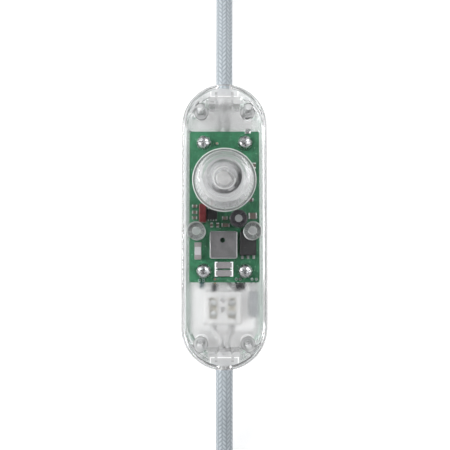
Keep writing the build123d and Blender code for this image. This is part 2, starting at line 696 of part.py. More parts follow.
# Pressed cover of the control, with four tabs down to the board
with BuildPart() as pot_cover:
    with BuildSketch(Plane.XY.offset(POT_TOP)):
        with Locations((0, KNOB_Y)):
            Circle(POT_R + FIT_GAP + COVER_THICKNESS)
    extrude(amount=COVER_THICKNESS)
    with BuildSketch(Plane.XY.offset(BOARD_TOP)):
        with Locations((0, KNOB_Y)):
            with PolarLocations(POT_R + FIT_GAP + COVER_THICKNESS / 2, 4, start_angle=45):
                Rectangle(COVER_THICKNESS, COVER_TAB_WIDTH)
        with Locations((0, KNOB_Y)):
            Circle(POT_R + FIT_GAP, mode=Mode.SUBTRACT)
    extrude(amount=POT_HEIGHT)
    with BuildSketch(Plane.XY.offset(POT_TOP)):
        with Locations((0, KNOB_Y)):
            Circle(BUSHING_NECK_R + FIT_GAP / 2)
    extrude(amount=COVER_THICKNESS, mode=Mode.SUBTRACT)
pot_cover.part.label = "pot_cover"
export_step(pot_cover.part, "parts/pot_cover.step")

# Bushing that the shaft turns in
with BuildPart() as pot_bushing:
    bore_r = SHAFT_R + SHAFT_FIT
    with BuildSketch(KNOB_PLANE):
        with BuildLine():
            Polyline(
                (bore_r, POT_TOP),
                (BUSHING_NECK_R, POT_TOP),
                (BUSHING_NECK_R, COVER_TOP),
                (BUSHING_FLANGE_R, COVER_TOP),
                (BUSHING_FLANGE_R, COVER_TOP + BUSHING_FLANGE),
                (BUSHING_R, COVER_TOP + BUSHING_FLANGE),
                (BUSHING_R, BUSHING_TOP),
                (bore_r, BUSHING_TOP),
                close=True,
            )
        make_face()
    revolve(axis=KNOB_AXIS)
pot_bushing.part.label = "pot_bushing"
export_step(pot_bushing.part, "parts/pot_bushing.step")

# Shaft with its rotor, pivot and D flat
flat_turn = radians(FLAT_ANGLE)
with BuildPart() as pot_shaft:
    with BuildSketch(KNOB_PLANE):
        with BuildLine():
            Polyline(
                (0, TRACK_Z - POT_FLOOR / 2 + RUNNING_GAP),
                (PIVOT_R, TRACK_Z - POT_FLOOR / 2 + RUNNING_GAP),
                (PIVOT_R, ROTOR_Z),
                (ROTOR_R, ROTOR_Z),
                (ROTOR_R, ROTOR_Z + ROTOR_THICKNESS),
                (SHAFT_R, ROTOR_Z + ROTOR_THICKNESS),
                (SHAFT_R, HUB_TOP - SHAFT_TOP_DROP),
                (0, HUB_TOP - SHAFT_TOP_DROP),
                close=True,
            )
        make_face()
    revolve(axis=KNOB_AXIS)
    chamfer(pot_shaft.faces().sort_by(Axis.Z)[-1].edges(), 0.35)
    with BuildSketch(Plane.XY.offset(KNOB_BASE)):
        flat_middle = SHAFT_FLAT + SHAFT_R / 2
        with Locations((flat_middle * cos(flat_turn), KNOB_Y + flat_middle * sin(flat_turn))):
            Rectangle(SHAFT_R, 3 * SHAFT_R, rotation=FLAT_ANGLE)
    extrude(amount=KNOB_HEIGHT, mode=Mode.SUBTRACT)
pot_shaft.part.label = "pot_shaft"
export_step(pot_shaft.part, "parts/pot_shaft.step")

# Wiper spring under the rotor, with an open gap between its two contact arms
with BuildPart() as wiper:
    with BuildSketch(Plane.XY.offset(WIPER_Z)):
        with Locations((0, KNOB_Y)):
            Circle(WIPER_R)
            Circle(PIVOT_R + FIT_GAP, mode=Mode.SUBTRACT)
            SlotCenterToCenter(WIPER_R, 1.4, rotation=FLAT_ANGLE, mode=Mode.SUBTRACT)
    extrude(amount=WIPER_THICKNESS)
wiper.part.label = "wiper"
export_step(wiper.part, "parts/wiper.step")

# Knob: a fluted cone on a flange, open in the middle, with a D hub, a collar and two ribs
with BuildPart() as knob:
    flange_top = KNOB_BASE + KNOB_FLANGE_THICKNESS
    with BuildSketch(KNOB_PLANE):
        with BuildLine():
            Polyline(
                (0, KNOB_BASE),
                (KNOB_FLANGE_R, KNOB_BASE),
                (KNOB_FLANGE_R, flange_top),
                (KNOB_BASE_R, flange_top),
                (KNOB_TOP_R, KNOB_TOP),
                (0, KNOB_TOP),
                close=True,
            )
        make_face()
    revolve(axis=KNOB_AXIS)
    fillet(knob.edges().group_by(Axis.Z)[-1], KNOB_TOP_FILLET)
    flange_rims = knob.edges().filter_by(lambda edge: abs(edge.radius - KNOB_FLANGE_R) < 0.01
                                         if edge.geom_type == GeomType.CIRCLE else False)
    fillet(flange_rims, KNOB_FLANGE_FILLET)

    # Flutes down the cone
    slant = Vector(KNOB_TOP_R - KNOB_BASE_R, 0, KNOB_TOP - flange_top)
    lean = Vector(0, 0, 1).get_angle(slant)
    with Locations((0, KNOB_Y, (flange_top + KNOB_TOP) / 2)):
        with PolarLocations((KNOB_BASE_R + KNOB_TOP_R) / 2 + FLUTE_R / 4, FLUTE_COUNT):
            Cylinder(
                FLUTE_R,
                slant.length - 2 * KNOB_TOP_FILLET,
                rotation=(0, -lean, 0),
                mode=Mode.SUBTRACT,
            )

    # Hollow under the cone
    with BuildSketch(KNOB_PLANE):
        with BuildLine():
            Polyline(
                (COLLAR_R, KNOB_BASE),
                (KNOB_BASE_R - KNOB_WALL, KNOB_BASE),
                (KNOB_TOP_R - KNOB_WALL, KNOB_TOP - KNOB_ROOF),
                (COLLAR_R, KNOB_TOP - KNOB_ROOF),
                close=True,
            )
        make_face()
    revolve(axis=KNOB_AXIS, mode=Mode.SUBTRACT)

    # Collar, well and the space above the bushing
    with BuildSketch(Plane.XY.offset(KNOB_BASE - COLLAR_DEPTH)):
        with Locations((0, KNOB_Y)):
            Circle(COLLAR_R)
    extrude(amount=COLLAR_DEPTH)
    with BuildSketch(Plane.XY.offset(KNOB_BASE - COLLAR_DEPTH)):
        with Locations((0, KNOB_Y)):
            Circle(WELL_R)
    extrude(amount=WELL_FLOOR_Z - WELL_FLOOR - KNOB_BASE + COLLAR_DEPTH, mode=Mode.SUBTRACT)
    with BuildSketch(Plane.XY.offset(WELL_FLOOR_Z)):
        with Locations((0, KNOB_Y)):
            Circle(WELL_R)
    extrude(amount=WELL_DEPTH, mode=Mode.SUBTRACT)

    # Hub and ribs, cut flat on the same side as the shaft
    with BuildSketch(Plane.XY.offset(KNOB_BASE)):
        with Locations((0, KNOB_Y)):
            Circle(HUB_R)
        hub_middle = HUB_FLAT + HUB_R / 2
        with Locations((hub_middle * cos(flat_turn), KNOB_Y + hub_middle * sin(flat_turn))):
            Rectangle(HUB_R, 3 * HUB_R, rotation=FLAT_ANGLE, mode=Mode.SUBTRACT)
    extrude(amount=HUB_TOP - KNOB_BASE)
    with BuildSketch(Plane.XY.offset(WELL_FLOOR_Z)):
        with Locations((0, KNOB_Y)):
            with PolarLocations((HUB_R + WELL_R) / 2, 2, start_angle=FLAT_ANGLE + 90):
                Rectangle(WELL_R - HUB_R + WELL_WALL, KNOB_RIB_WIDTH)
    extrude(amount=HUB_TOP - KNOB_RIB_DROP - WELL_FLOOR_Z)

    # D bore
    with BuildSketch(Plane.XY.offset(KNOB_BASE)):
        with Locations((0, KNOB_Y)):
            Circle(SHAFT_R + SHAFT_FIT)
        bore_flat = SHAFT_FLAT + SHAFT_FIT + SHAFT_R / 2
        with Locations((bore_flat * cos(flat_turn), KNOB_Y + bore_flat * sin(flat_turn))):
            Rectangle(SHAFT_R, 3 * SHAFT_R, rotation=FLAT_ANGLE, mode=Mode.SUBTRACT)
    extrude(amount=KNOB_HEIGHT, mode=Mode.SUBTRACT)
knob.part.label = "knob"
export_step(knob.part, "parts/knob.step")

# Shield can: a folded cover with one hole, open below
with BuildPart() as shield_can:
    with BuildSketch(Plane.XY.offset(BOARD_TOP)):
        with Locations(on_board(SHIELD_PLACE)):
            RectangleRounded(SHIELD_SIZE, SHIELD_SIZE, 2 * SHIELD_WALL)
    extrude(amount=SHIELD_HEIGHT)
    fillet(shield_can.faces().sort_by(Axis.Z)[-1].edges(), 0.6 * SHIELD_WALL)
    with BuildSketch(Plane.XY.offset(BOARD_TOP)):
        with Locations(on_board(SHIELD_PLACE)):
            RectangleRounded(SHIELD_SIZE - 2 * SHIELD_WALL, SHIELD_SIZE - 2 * SHIELD_WALL, SHIELD_WALL)
    extrude(amount=SHIELD_HEIGHT - SHIELD_WALL, mode=Mode.SUBTRACT)
    shield_x, shield_y = on_board(SHIELD_PLACE)
    with BuildSketch(Plane.XY.offset(BOARD_TOP)):
        with Locations((shield_x + SHIELD_HOLE_OFFSET[0], shield_y + SHIELD_HOLE_OFFSET[1])):
            Circle(SHIELD_HOLE_R)
    extrude(amount=SHIELD_HEIGHT, mode=Mode.SUBTRACT)
shield_can.part.label = "shield_can"
export_step(shield_can.part, "parts/shield_can.step")

# Electrolytic capacitor: its can with two leads, and the sleeve rolled over its top edge
with BuildPart() as capacitor_can:
    with BuildSketch(Plane.XY.offset(BOARD_TOP)):
        with Locations((capacitor_x, capacitor_y)):
            Circle(CAPACITOR_R)
    extrude(amount=CAPACITOR_HEIGHT)
    fillet(capacitor_can.faces().sort_by(Axis.Z)[-1].edges(), 0.4)
    with BuildSketch(Plane.XY.offset(BOARD_Z - PIN_REACH)):
        with Locations(*capacitor_pins):
            Circle(PIN_RADIUS)
    extrude(amount=BOARD_THICKNESS + PIN_REACH)
capacitor_can.part.label = "capacitor_can"
export_step(capacitor_can.part, "parts/capacitor_can.step")

with BuildPart() as capacitor_sleeve:
    sleeve_r = CAPACITOR_R + SLEEVE_THICKNESS
    sleeve_top = BOARD_TOP + CAPACITOR_HEIGHT + SLEEVE_THICKNESS
    with BuildSketch(Plane.XY.offset(BOARD_TOP)):
        with Locations((capacitor_x, capacitor_y)):
            Circle(sleeve_r)
    extrude(amount=sleeve_top - BOARD_TOP)
    fillet(capacitor_sleeve.faces().sort_by(Axis.Z)[-1].edges(), 0.45)
    with BuildSketch(Plane.XY.offset(BOARD_TOP)):
        with Locations((capacitor_x, capacitor_y)):
            Circle(CAPACITOR_R)
    extrude(amount=CAPACITOR_HEIGHT, mode=Mode.SUBTRACT)
    with BuildSketch(Plane.XY.offset(sleeve_top)):
        with Locations((capacitor_x, capacitor_y)):
            Circle(CAPACITOR_TOP_R)
    extrude(amount=-2 * SLEEVE_THICKNESS, mode=Mode.SUBTRACT)
capacitor_sleeve.part.label = "capacitor_sleeve"
export_step(capacitor_sleeve.part, "parts/capacitor_sleeve.step")

# Film capacitor
with BuildPart() as film_capacitor:
    with Locations((film_x, film_y, BOARD_TOP)):
        add(cased_block(FILM_SIZE, 0.6))
    with BuildSketch(Plane.XY.offset(BOARD_Z - PIN_REACH)):
        with Locations(*film_pins):
            Circle(PIN_RADIUS)
    extrude(amount=BOARD_THICKNESS + PIN_REACH)
film_capacitor.part.label = "film_capacitor"
export_step(film_capacitor.part, "parts/film_capacitor.step")

# Control chip with its two rows of legs
with BuildPart() as control_chip:
    control_x, control_y = on_board(CONTROL_PLACE)
    with Locations((control_x, control_y, BOARD_TOP + FIT_GAP)):
        add(cased_block(CONTROL_SIZE, 0.3))
    with BuildSketch(Plane.XY.offset(BOARD_TOP)):
        with Locations((control_x, control_y)):
            with GridLocations(CONTROL_LEG_PITCH, CONTROL_SIZE[1] + CONTROL_LEG, 4, 2):
                Rectangle(CONTROL_LEG_WIDTH, CONTROL_LEG)
    extrude(amount=LEG_THICKNESS)
control_chip.part.label = "control_chip"
export_step(control_chip.part, "parts/control_chip.step")

# Power package with three legs and its tab
with BuildPart() as power_package:
    package_x, package_y = on_board(PACKAGE_PLACE)
    with Locations((package_x, package_y, BOARD_TOP)):
        add(cased_block(PACKAGE_SIZE, 0.4))
    with BuildSketch(Plane.XY.offset(BOARD_TOP)):
        with Locations((package_x, package_y - (PACKAGE_SIZE[1] + PACKAGE_LEG) / 2)):
            with GridLocations(PACKAGE_LEG_PITCH, 1, 3, 1):
                Rectangle(PACKAGE_LEG_WIDTH, PACKAGE_LEG)
        with Locations((package_x, package_y + (PACKAGE_SIZE[1] + PACKAGE_TAB) / 2)):
            Rectangle(PACKAGE_SIZE[0] - 1, PACKAGE_TAB)
    extrude(amount=LEG_THICKNESS)
power_package.part.label = "power_package"
export_step(power_package.part, "parts/power_package.step")

# Chip fuse
with BuildPart() as chip_fuse:
    fuse_x, fuse_y = on_board(FUSE_PLACE)
    with Locations((fuse_x, fuse_y, BOARD_TOP)):
        add(cased_block(FUSE_SIZE, 0.3))
chip_fuse.part.label = "chip_fuse"
export_step(chip_fuse.part, "parts/chip_fuse.step")

# Power resistors
with BuildPart() as power_resistors:
    for resistor_y in RESISTOR_YS:
        x, y = on_board((RESISTOR_X, resistor_y))
        with Locations((x, y, BOARD_TOP)):
            add(cased_block(RESISTOR_SIZE, 0.3))
power_resistors.part.label = "power_resistors"
export_step(power_resistors.part, "parts/power_resistors.step")

# Small chips
with BuildPart() as small_chips:
    for x, y, length, width in SMALL_CHIPS:
        chip_x, chip_y = on_board((x, y))
        with Locations((chip_x, chip_y, BOARD_TOP)):
            add(cased_block((length, width, SMALL_CHIP_HEIGHT), 0.15))
small_chips.part.label = "small_chips"
export_step(small_chips.part, "parts/small_chips.step")

# Terminal block with a pocket for each insert and a mouth for each core
with BuildPart() as terminal_block:
    with BuildSketch(Plane.XY.offset(FLOOR)):
        with Locations((TERMINAL_X, TERMINAL_Y)):
            RectangleRounded(TERMINAL_SIZE[0], TERMINAL_SIZE[1], 0.8)
        with Locations(*[(TERMINAL_X, TERMINAL_Y + y) for y in PEG_YS]):
            Circle(PEG_R + FIT_GAP, mode=Mode.SUBTRACT)
    extrude(amount=TERMINAL_SIZE[2])
    chamfer(terminal_block.faces().sort_by(Axis.Z)[-1].outer_wire().edges(), 0.4)
    insert_bottom = INSERT_Z - INSERT_SIZE[2] / 2
    with BuildSketch(Plane.XY.offset(insert_bottom)):
        with Locations(*[(x, TERMINAL_Y) for x in TERMINAL_XS]):
            Rectangle(INSERT_SIZE[0] + FIT_GAP, INSERT_SIZE[1] + FIT_GAP)
    extrude(amount=TERMINAL_TOP - insert_bottom, mode=Mode.SUBTRACT)
    for x in TERMINAL_XS:
        with Locations((x, TERMINAL_Y, INSERT_Z)):
            Cylinder(
                TERMINAL_MOUTH_R,
                TERMINAL_SIZE[1],
                rotation=(90, 0, 0),
                mode=Mode.SUBTRACT,
            )
terminal_block.part.label = "terminal_block"
export_step(terminal_block.part, "parts/terminal_block.step")

# Brass inserts, each bored through and drilled for two screws
screw_ys = (TERMINAL_Y - TERMINAL_SCREW_SPACING / 2, TERMINAL_Y + TERMINAL_SCREW_SPACING / 2)
terminal_screw_places = [(x, y) for x in TERMINAL_XS for y in screw_ys]
with BuildPart() as terminal_inserts:
    for x in TERMINAL_XS:
        with Locations((x, TERMINAL_Y, INSERT_Z)):
            Box(*INSERT_SIZE)
            Cylinder(
                INSERT_BORE_R,
                INSERT_SIZE[1],
                rotation=(90, 0, 0),
                mode=Mode.SUBTRACT,
            )
    with BuildSketch(Plane.XY.offset(INSERT_Z)):
        with Locations(*terminal_screw_places):
            Circle(TERMINAL_SCREW_R + FIT_GAP / 2)
    extrude(amount=INSERT_SIZE[2] / 2, mode=Mode.SUBTRACT)
terminal_inserts.part.label = "terminal_inserts"
export_step(terminal_inserts.part, "parts/terminal_inserts.step")

# Terminal screws, down to the conductors
terminal_screw = pan_screw(
    TERMINAL_SCREW_R,
    INSERT_TOP - INSERT_Z - CONDUCTOR_RADIUS - FIT_GAP / 2,
    TERMINAL_SCREW_HEAD_R,
    TERMINAL_SCREW_HEAD,
)
with BuildPart() as terminal_screws:
    with Locations(*[(x, y, INSERT_TOP) for x, y in terminal_screw_places]):
        add(terminal_screw)
terminal_screws.part.label = "terminal_screws"
export_step(terminal_screws.part, "parts/terminal_screws.step")

# Suppression capacitor, lying beside the terminal block, its leads bent up into the board
suppressor_face = TERMINAL_FACE_Y
with BuildPart() as suppression_capacitor:
    with Locations((SUPPRESSOR_X, suppressor_face - SUPPRESSOR_SIZE[1] / 2, FLOOR)):
        add(cased_block(SUPPRESSOR_SIZE, 0.5))
    for x, y in suppressor_pins:
        lead = [
            (x, suppressor_face - 0.5, SUPPRESSOR_LEAD_Z),
            (x, y, SUPPRESSOR_LEAD_Z),
            (x, y, BOARD_TOP + PIN_REACH),
        ]
        add(round_wire(lead, PIN_RADIUS, "suppressor lead"))
suppression_capacitor.part.label = "suppression_capacitor"
export_step(suppression_capacitor.part, "parts/suppression_capacitor.step")

# Suppression choke: a drum core across the floor, its leads bent up into the board
choke_y = BOARD_LOW_EDGE - CHOKE_R - FIT_GAP
choke_z = FLOOR + CHOKE_R + FIT_GAP / 2
with BuildPart() as suppression_choke:
    with Locations((CHOKE_X, choke_y, choke_z)):
        Cylinder(CHOKE_R - 0.25, CHOKE_LENGTH, rotation=(0, 90, 0))
    for side in (-1, 1):
        with Locations((CHOKE_X + side * (CHOKE_LENGTH / 2 - CHOKE_FLANGE / 2), choke_y, choke_z)):
            Cylinder(CHOKE_R, CHOKE_FLANGE, rotation=(0, 90, 0))
    for x, y in choke_pins:
        lead = [
            (x, choke_y, choke_z),
            (x, y, choke_z),
            (x, y, BOARD_TOP + PIN_REACH),
        ]
        add(round_wire(lead, PIN_RADIUS, "choke lead"))
suppression_choke.part.label = "suppression_choke"
export_step(suppression_choke.part, "parts/suppression_choke.step")

# Varistor: a disc on edge under the board's lower edge
varistor_z = FLOOR + VARISTOR_R + FIT_GAP / 2
with BuildPart() as varistor:
    with Locations((VARISTOR_X, BOARD_LOW_EDGE - 0.8, varistor_z)):
        Cylinder(VARISTOR_R, VARISTOR_THICKNESS, rotation=(0, 90, 0))
    fillet(varistor.edges().filter_by(GeomType.CIRCLE), 0.5)
    with BuildSketch(Plane.XY.offset(varistor_z)):
        with Locations(*varistor_pins):
            Circle(PIN_RADIUS)
    extrude(amount=BOARD_TOP + PIN_REACH - varistor_z)
varistor.part.label = "varistor"
export_step(varistor.part, "parts/varistor.step")

# Cord clamps: blocks with a half-round notch and two pry slots
for name, end in (("mains_cord_clamp", -1), ("lamp_cord_clamp", 1)):
    with BuildPart() as cord_clamp:
        with BuildSketch(Plane.XY.offset(PARTING_Z + CLAMP_LIFT)):
            with Locations((0, end * CLAMP_Y)):
                RectangleRounded(CLAMP_WIDTH, CLAMP_LENGTH, 0.5)
        extrude(amount=CLAMP_RISE - CLAMP_LIFT)
        with BuildSketch(Plane.XY.offset(CLAMP_TOP)):
            slot_y = end * (CLAMP_INNER_Y + 0.8)
            with Locations((0, slot_y), (-CLAMP_WIDTH / 2 + 1.2, slot_y)):
                Rectangle(PRY_SLOT_WIDTH / 2, 0.7)
        extrude(amount=-PRY_SLOT_DEPTH, mode=Mode.SUBTRACT)
        with Locations((0, end * CLAMP_Y, CORD_Z)):
            Cylinder(
                SHEATH_RADIUS + FIT_GAP / 2,
                CLAMP_LENGTH,
                rotation=(90, 0, 0),
                mode=Mode.SUBTRACT,
            )
    cord_clamp.part.label = name
    export_step(cord_clamp.part, f"parts/{name}.step")

# Inner sheath at each end, from the cut braid through the clamp
for name, end in (("mains_sheath_end", -1), ("lamp_sheath_end", 1)):
    with BuildPart() as sheath_end:
        add(straight_rod((0, end * BRAID_END_Y, CORD_Z), (0, end * SHEATH_END_Y, CORD_Z), SHEATH_RADIUS))
    sheath_end.part.label = name
    export_step(sheath_end.part, f"parts/{name}.step")

# Cores, each along its own route inside the housing
mouth_low_y = TERMINAL_Y - (TERMINAL_SIZE[1] + INSERT_SIZE[1]) / 4
mouth_high_y = TERMINAL_Y + (TERMINAL_SIZE[1] + INSERT_SIZE[1]) / 4
core_x = CORE_SPACING / 2
live_x, neutral_x = TERMINAL_XS
core_routes = {
    "mains_live_core": [
        (-core_x, -SHEATH_END_Y, CORD_Z),
        (-core_x, -SHEATH_END_Y + 3.1, CORD_Z),
        (live_x, -SHEATH_END_Y + 6.4, INSERT_Z),
        (live_x, mouth_low_y, INSERT_Z),
    ],
    "mains_neutral_core": [
        (core_x, -SHEATH_END_Y, CORD_Z),
        (core_x, -SHEATH_END_Y + 3.1, CORD_Z),
        (neutral_x, -SHEATH_END_Y + 6.4, INSERT_Z),
        (neutral_x, mouth_low_y, INSERT_Z),
    ],
    "lamp_live_core": [
        (-core_x, SHEATH_END_Y, CORD_Z),
        (-core_x, SHEATH_END_Y - 3.2, CORD_Z),
        (-2.6, SHEATH_END_Y - 7.8, 4.2),
        (lamp_pin[0], lamp_pin[1] + 2.4, 4.2),
    ],
    "lamp_neutral_core": [
        (core_x, SHEATH_END_Y, CORD_Z),
        (core_x, SHEATH_END_Y - 3.2, CORD_Z),
        (core_x, SHEATH_END_Y - 8.0, 3.4),
        (0.6, BOARD_Y, 3.0),
        (1.2, BOARD_LOW_EDGE + 4.0, 3.2),
        (1.6, BOARD_LOW_EDGE - 0.5, 4.4),
        (neutral_x, TERMINAL_FACE_Y + 0.6, INSERT_Z),
        (neutral_x, mouth_high_y, INSERT_Z),
    ],
    "board_lead": [
        (live_x, mouth_high_y, INSERT_Z),
        (live_x, mouth_high_y + 1.5, INSERT_Z),
        (lead_pin[0], lead_pin[1] - 1.8, INSERT_Z),
    ],
}
for name, route in core_routes.items():
    with BuildPart() as core:
        add(round_wire(route, CORE_RADIUS, name))
    core.part.label = name
    export_step(core.part, f"parts/{name}.step")

# Bare conductors: four in the inserts, two bent up into the board
strip = (INSERT_SIZE[1] - TERMINAL_SCREW_SPACING) / 2 + TERMINAL_SCREW_R
with BuildPart() as core_conductors:
    for x in TERMINAL_XS:
        low_tip = TERMINAL_Y - INSERT_SIZE[1] / 2 + strip
        high_tip = TERMINAL_Y + INSERT_SIZE[1] / 2 - strip
        add(straight_rod((x, mouth_low_y, INSERT_Z), (x, low_tip, INSERT_Z), CONDUCTOR_RADIUS))
        add(straight_rod((x, mouth_high_y, INSERT_Z), (x, high_tip, INSERT_Z), CONDUCTOR_RADIUS))
    for name, (x, y) in (("board_lead", lead_pin), ("lamp_live_core", lamp_pin)):
        end_x, end_y, end_z = core_routes[name][-1]
        tail = [(end_x, end_y, end_z), (x, y, end_z), (x, y, BOARD_TOP + PIN_REACH)]
        add(round_wire(tail, PIN_RADIUS, name + " tail"))
core_conductors.part.label = "core_conductors"
export_step(core_conductors.part, "parts/core_conductors.step")

# Visible flex at each end: straight out of the housing, then down to the surface
mains_route = [
    (0, -BRAID_END_Y, CORD_Z),
    (0, -BRAID_END_Y - LEVEL_RUN, CORD_Z),
    (0, -BRAID_END_Y - LEVEL_RUN - DROP_RUN, CORD_RADIUS + TIE_THICKNESS),
    (0, -HANK_START, CORD_RADIUS + TIE_THICKNESS),
]
lamp_route = [
    (0, BRAID_END_Y, CORD_Z),
    (0, BRAID_END_Y + LEVEL_RUN, CORD_Z),
    (0, BRAID_END_Y + LEVEL_RUN + DROP_RUN, CORD_RADIUS + TIE_THICKNESS),
    (0, HANK_START, CORD_RADIUS + TIE_THICKNESS),
]
for name, route in (("mains_cord", mains_route), ("lamp_cord", lamp_route)):
    with BuildPart() as cord:
        add(round_wire(route, CORD_RADIUS, name))
    cord.part.label = name
    export_step(cord.part, f"parts/{name}.step")

# Mains hank: the outer shape of its layers, with a groove under it for the strap
mains_top = hank_height(MAINS_LAYERS)
with BuildPart() as mains_hank:
    with BuildSketch():
        with Locations((0, -HANK_MIDDLE)):
            SlotOverall(HANK_LENGTH, 2 * HANK_OUTER_R, rotation=90)
    extrude(amount=mains_top)
    fillet(mains_hank.faces().sort_by(Axis.Z)[-1].edges(), HANK_EDGE_FILLET)
    with Locations((0, -HANK_MIDDLE, 0)):
        Box(3 * HANK_OUTER_R, TIE_WIDTH + 2 * FIT_GAP, 2 * TIE_THICKNESS, mode=Mode.SUBTRACT)
mains_hank.part.label = "mains_hank"
export_step(mains_hank.part, "parts/mains_hank.step")

# Lamp hank: its upper layer stops where the flex ends
lamp_top = hank_height(LAMP_LAYERS)
lamp_step = TIE_THICKNESS + CORD_DIAMETER
lamp_end_y = HANK_TURN_Y + LAMP_END_RUN
with BuildPart() as lamp_hank:
    with BuildSketch():
        with Locations((0, HANK_MIDDLE)):
            SlotOverall(HANK_LENGTH, 2 * HANK_OUTER_R, rotation=90)
    extrude(amount=lamp_top)
    fillet(lamp_hank.faces().sort_by(Axis.Z)[-1].edges(), HANK_EDGE_FILLET)
    with BuildSketch(Plane.XY.offset(lamp_step)):
        with Locations((-HANK_OUTER_R, HANK_TURN_Y + LAMP_END_RUN / 2)):
            Rectangle(2 * (HANK_OUTER_R - HANK_BEND_R + 2 * CORD_RADIUS), LAMP_END_RUN)
    extrude(amount=lamp_top, mode=Mode.SUBTRACT)
    with Locations((0, HANK_MIDDLE, 0)):
        Box(3 * HANK_OUTER_R, TIE_WIDTH + 2 * FIT_GAP, 2 * TIE_THICKNESS, mode=Mode.SUBTRACT)
lamp_hank.part.label = "lamp_hank"
export_step(lamp_hank.part, "parts/lamp_hank.step")

# Strap round the waist of each hank
for name, end, top in (("mains_tie", -1, mains_top), ("lamp_tie", 1, lamp_top)):
    with BuildPart() as tie:
        outer_width = 2 * (HANK_OUTER_R + FIT_GAP + TIE_THICKNESS)
        outer_height = top + FIT_GAP + TIE_THICKNESS
        with BuildSketch(Plane.XZ.offset(-end * HANK_MIDDLE)):
            with Locations((0, outer_height / 2)):
                RectangleRounded(outer_width, outer_height, TIE_THICKNESS)
                Rectangle(
                    outer_width - 2 * TIE_THICKNESS,
                    outer_height - 2 * TIE_THICKNESS,
                    mode=Mode.SUBTRACT,
                )
        extrude(amount=TIE_WIDTH / 2, both=True)
    tie.part.label = name
    export_step(tie.part, f"parts/{name}.step")

# Bare core ends on the lamp side, lying on the hank's lower layer
end_x = -HANK_BEND_R - CORD_RADIUS
end_z = lamp_step + CORE_RADIUS + CORE_TAIL_RISE
with BuildPart() as lamp_core_ends:
    for side in (-1, 1):
        x = end_x + side * core_x
        add(straight_rod((x, lamp_end_y, end_z), (x, lamp_end_y - CORE_TAIL, end_z), CORE_RADIUS))
lamp_core_ends.part.label = "lamp_core_ends"
export_step(lamp_core_ends.part, "parts/lamp_core_ends.step")

# Flex from the top of the hank to the plug, rising to the plug's middle and turned on the way
plug_z = mains_top + PLUG_THICKNESS / 2 + PLUG_CROWN
half_turn = radians(PLUG_TURN / 2)
full_turn = radians(PLUG_TURN)
turn_run = 9.0
rise_start = (HANK_BEND_R, -HANK_START - 12.0, mains_top + CORD_RADIUS + FIT_GAP / 2)
rise_middle = (HANK_BEND_R, -HANK_START - 21.5, plug_z - 1.4)
bend_1 = (HANK_BEND_R, -HANK_START - 31.5, plug_z)
bend_2 = (bend_1[0] - turn_run * sin(half_turn), bend_1[1] - turn_run * cos(half_turn), plug_z)
bend_3 = (bend_2[0] - turn_run * sin(full_turn), bend_2[1] - turn_run * cos(full_turn), plug_z)
with BuildPart() as plug_cord:
    plug_route = [rise_start, rise_middle, bend_1, bend_2, bend_3]
    add(round_wire(plug_route, CORD_RADIUS, "plug_cord"))
plug_cord.part.label = "plug_cord"
export_step(plug_cord.part, "parts/plug_cord.step")

# Plug: tapered relief, lofted body, sleeved pins
plug_plane = Plane(
    origin=bend_3,
    x_dir=(cos(full_turn), -sin(full_turn), 0),
    z_dir=(-sin(full_turn), -cos(full_turn), 0),
)
with BuildPart() as plug_relief:
    with BuildSketch(plug_plane):
        Circle(RELIEF_TIP_R)
    with BuildSketch(plug_plane.offset(RELIEF_LENGTH)):
        Circle(RELIEF_ROOT_R)
    loft()
plug_relief.part.label = "plug_relief"
export_step(plug_relief.part, "parts/plug_relief.step")

body_plane = plug_plane.offset(RELIEF_LENGTH)
with BuildPart() as plug_body:
    with BuildSketch(body_plane):
        RectangleRounded(PLUG_REAR_WIDTH, PLUG_REAR_THICKNESS, PLUG_CORNER)
    with BuildSketch(body_plane.offset(0.45 * PLUG_BODY_LENGTH)):
        RectangleRounded(0.8 * PLUG_WIDTH, PLUG_THICKNESS, PLUG_CORNER)
    with BuildSketch(body_plane.offset(PLUG_BODY_LENGTH)):
        RectangleRounded(PLUG_WIDTH, PLUG_THICKNESS, PLUG_CORNER)
    loft()
plug_body.part.label = "plug_body"
export_step(plug_body.part, "parts/plug_body.step")

face_plane = body_plane.offset(PLUG_BODY_LENGTH)
with BuildPart() as plug_pins:
    with BuildSketch(face_plane):
        with GridLocations(PLUG_PIN_SPACING, 1, 2, 1):
            Circle(PLUG_PIN_CORE_R)
    extrude(amount=PLUG_SLEEVE_LENGTH)
    with BuildSketch(face_plane.offset(PLUG_SLEEVE_LENGTH)):
        with GridLocations(PLUG_PIN_SPACING, 1, 2, 1):
            Circle(PLUG_PIN_R)
    extrude(amount=PLUG_PIN_LENGTH - PLUG_SLEEVE_LENGTH)
    tips = plug_pins.faces().filter_by(GeomType.PLANE).sort_by(Axis(bend_3, face_plane.z_dir))[-2:]
    fillet(tips.edges(), 0.8 * PLUG_PIN_R)
plug_pins.part.label = "plug_pins"
export_step(plug_pins.part, "parts/plug_pins.step")

with BuildPart() as plug_sleeves:
    with BuildSketch(face_plane):
        with GridLocations(PLUG_PIN_SPACING, 1, 2, 1):
            Circle(PLUG_PIN_R - FIT_GAP)
            Circle(PLUG_PIN_CORE_R, mode=Mode.SUBTRACT)
    extrude(amount=PLUG_SLEEVE_LENGTH)
plug_sleeves.part.label = "plug_sleeves"
export_step(plug_sleeves.part, "parts/plug_sleeves.step")
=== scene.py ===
import math

import bmesh
import bpy
from mathutils import Matrix, Vector


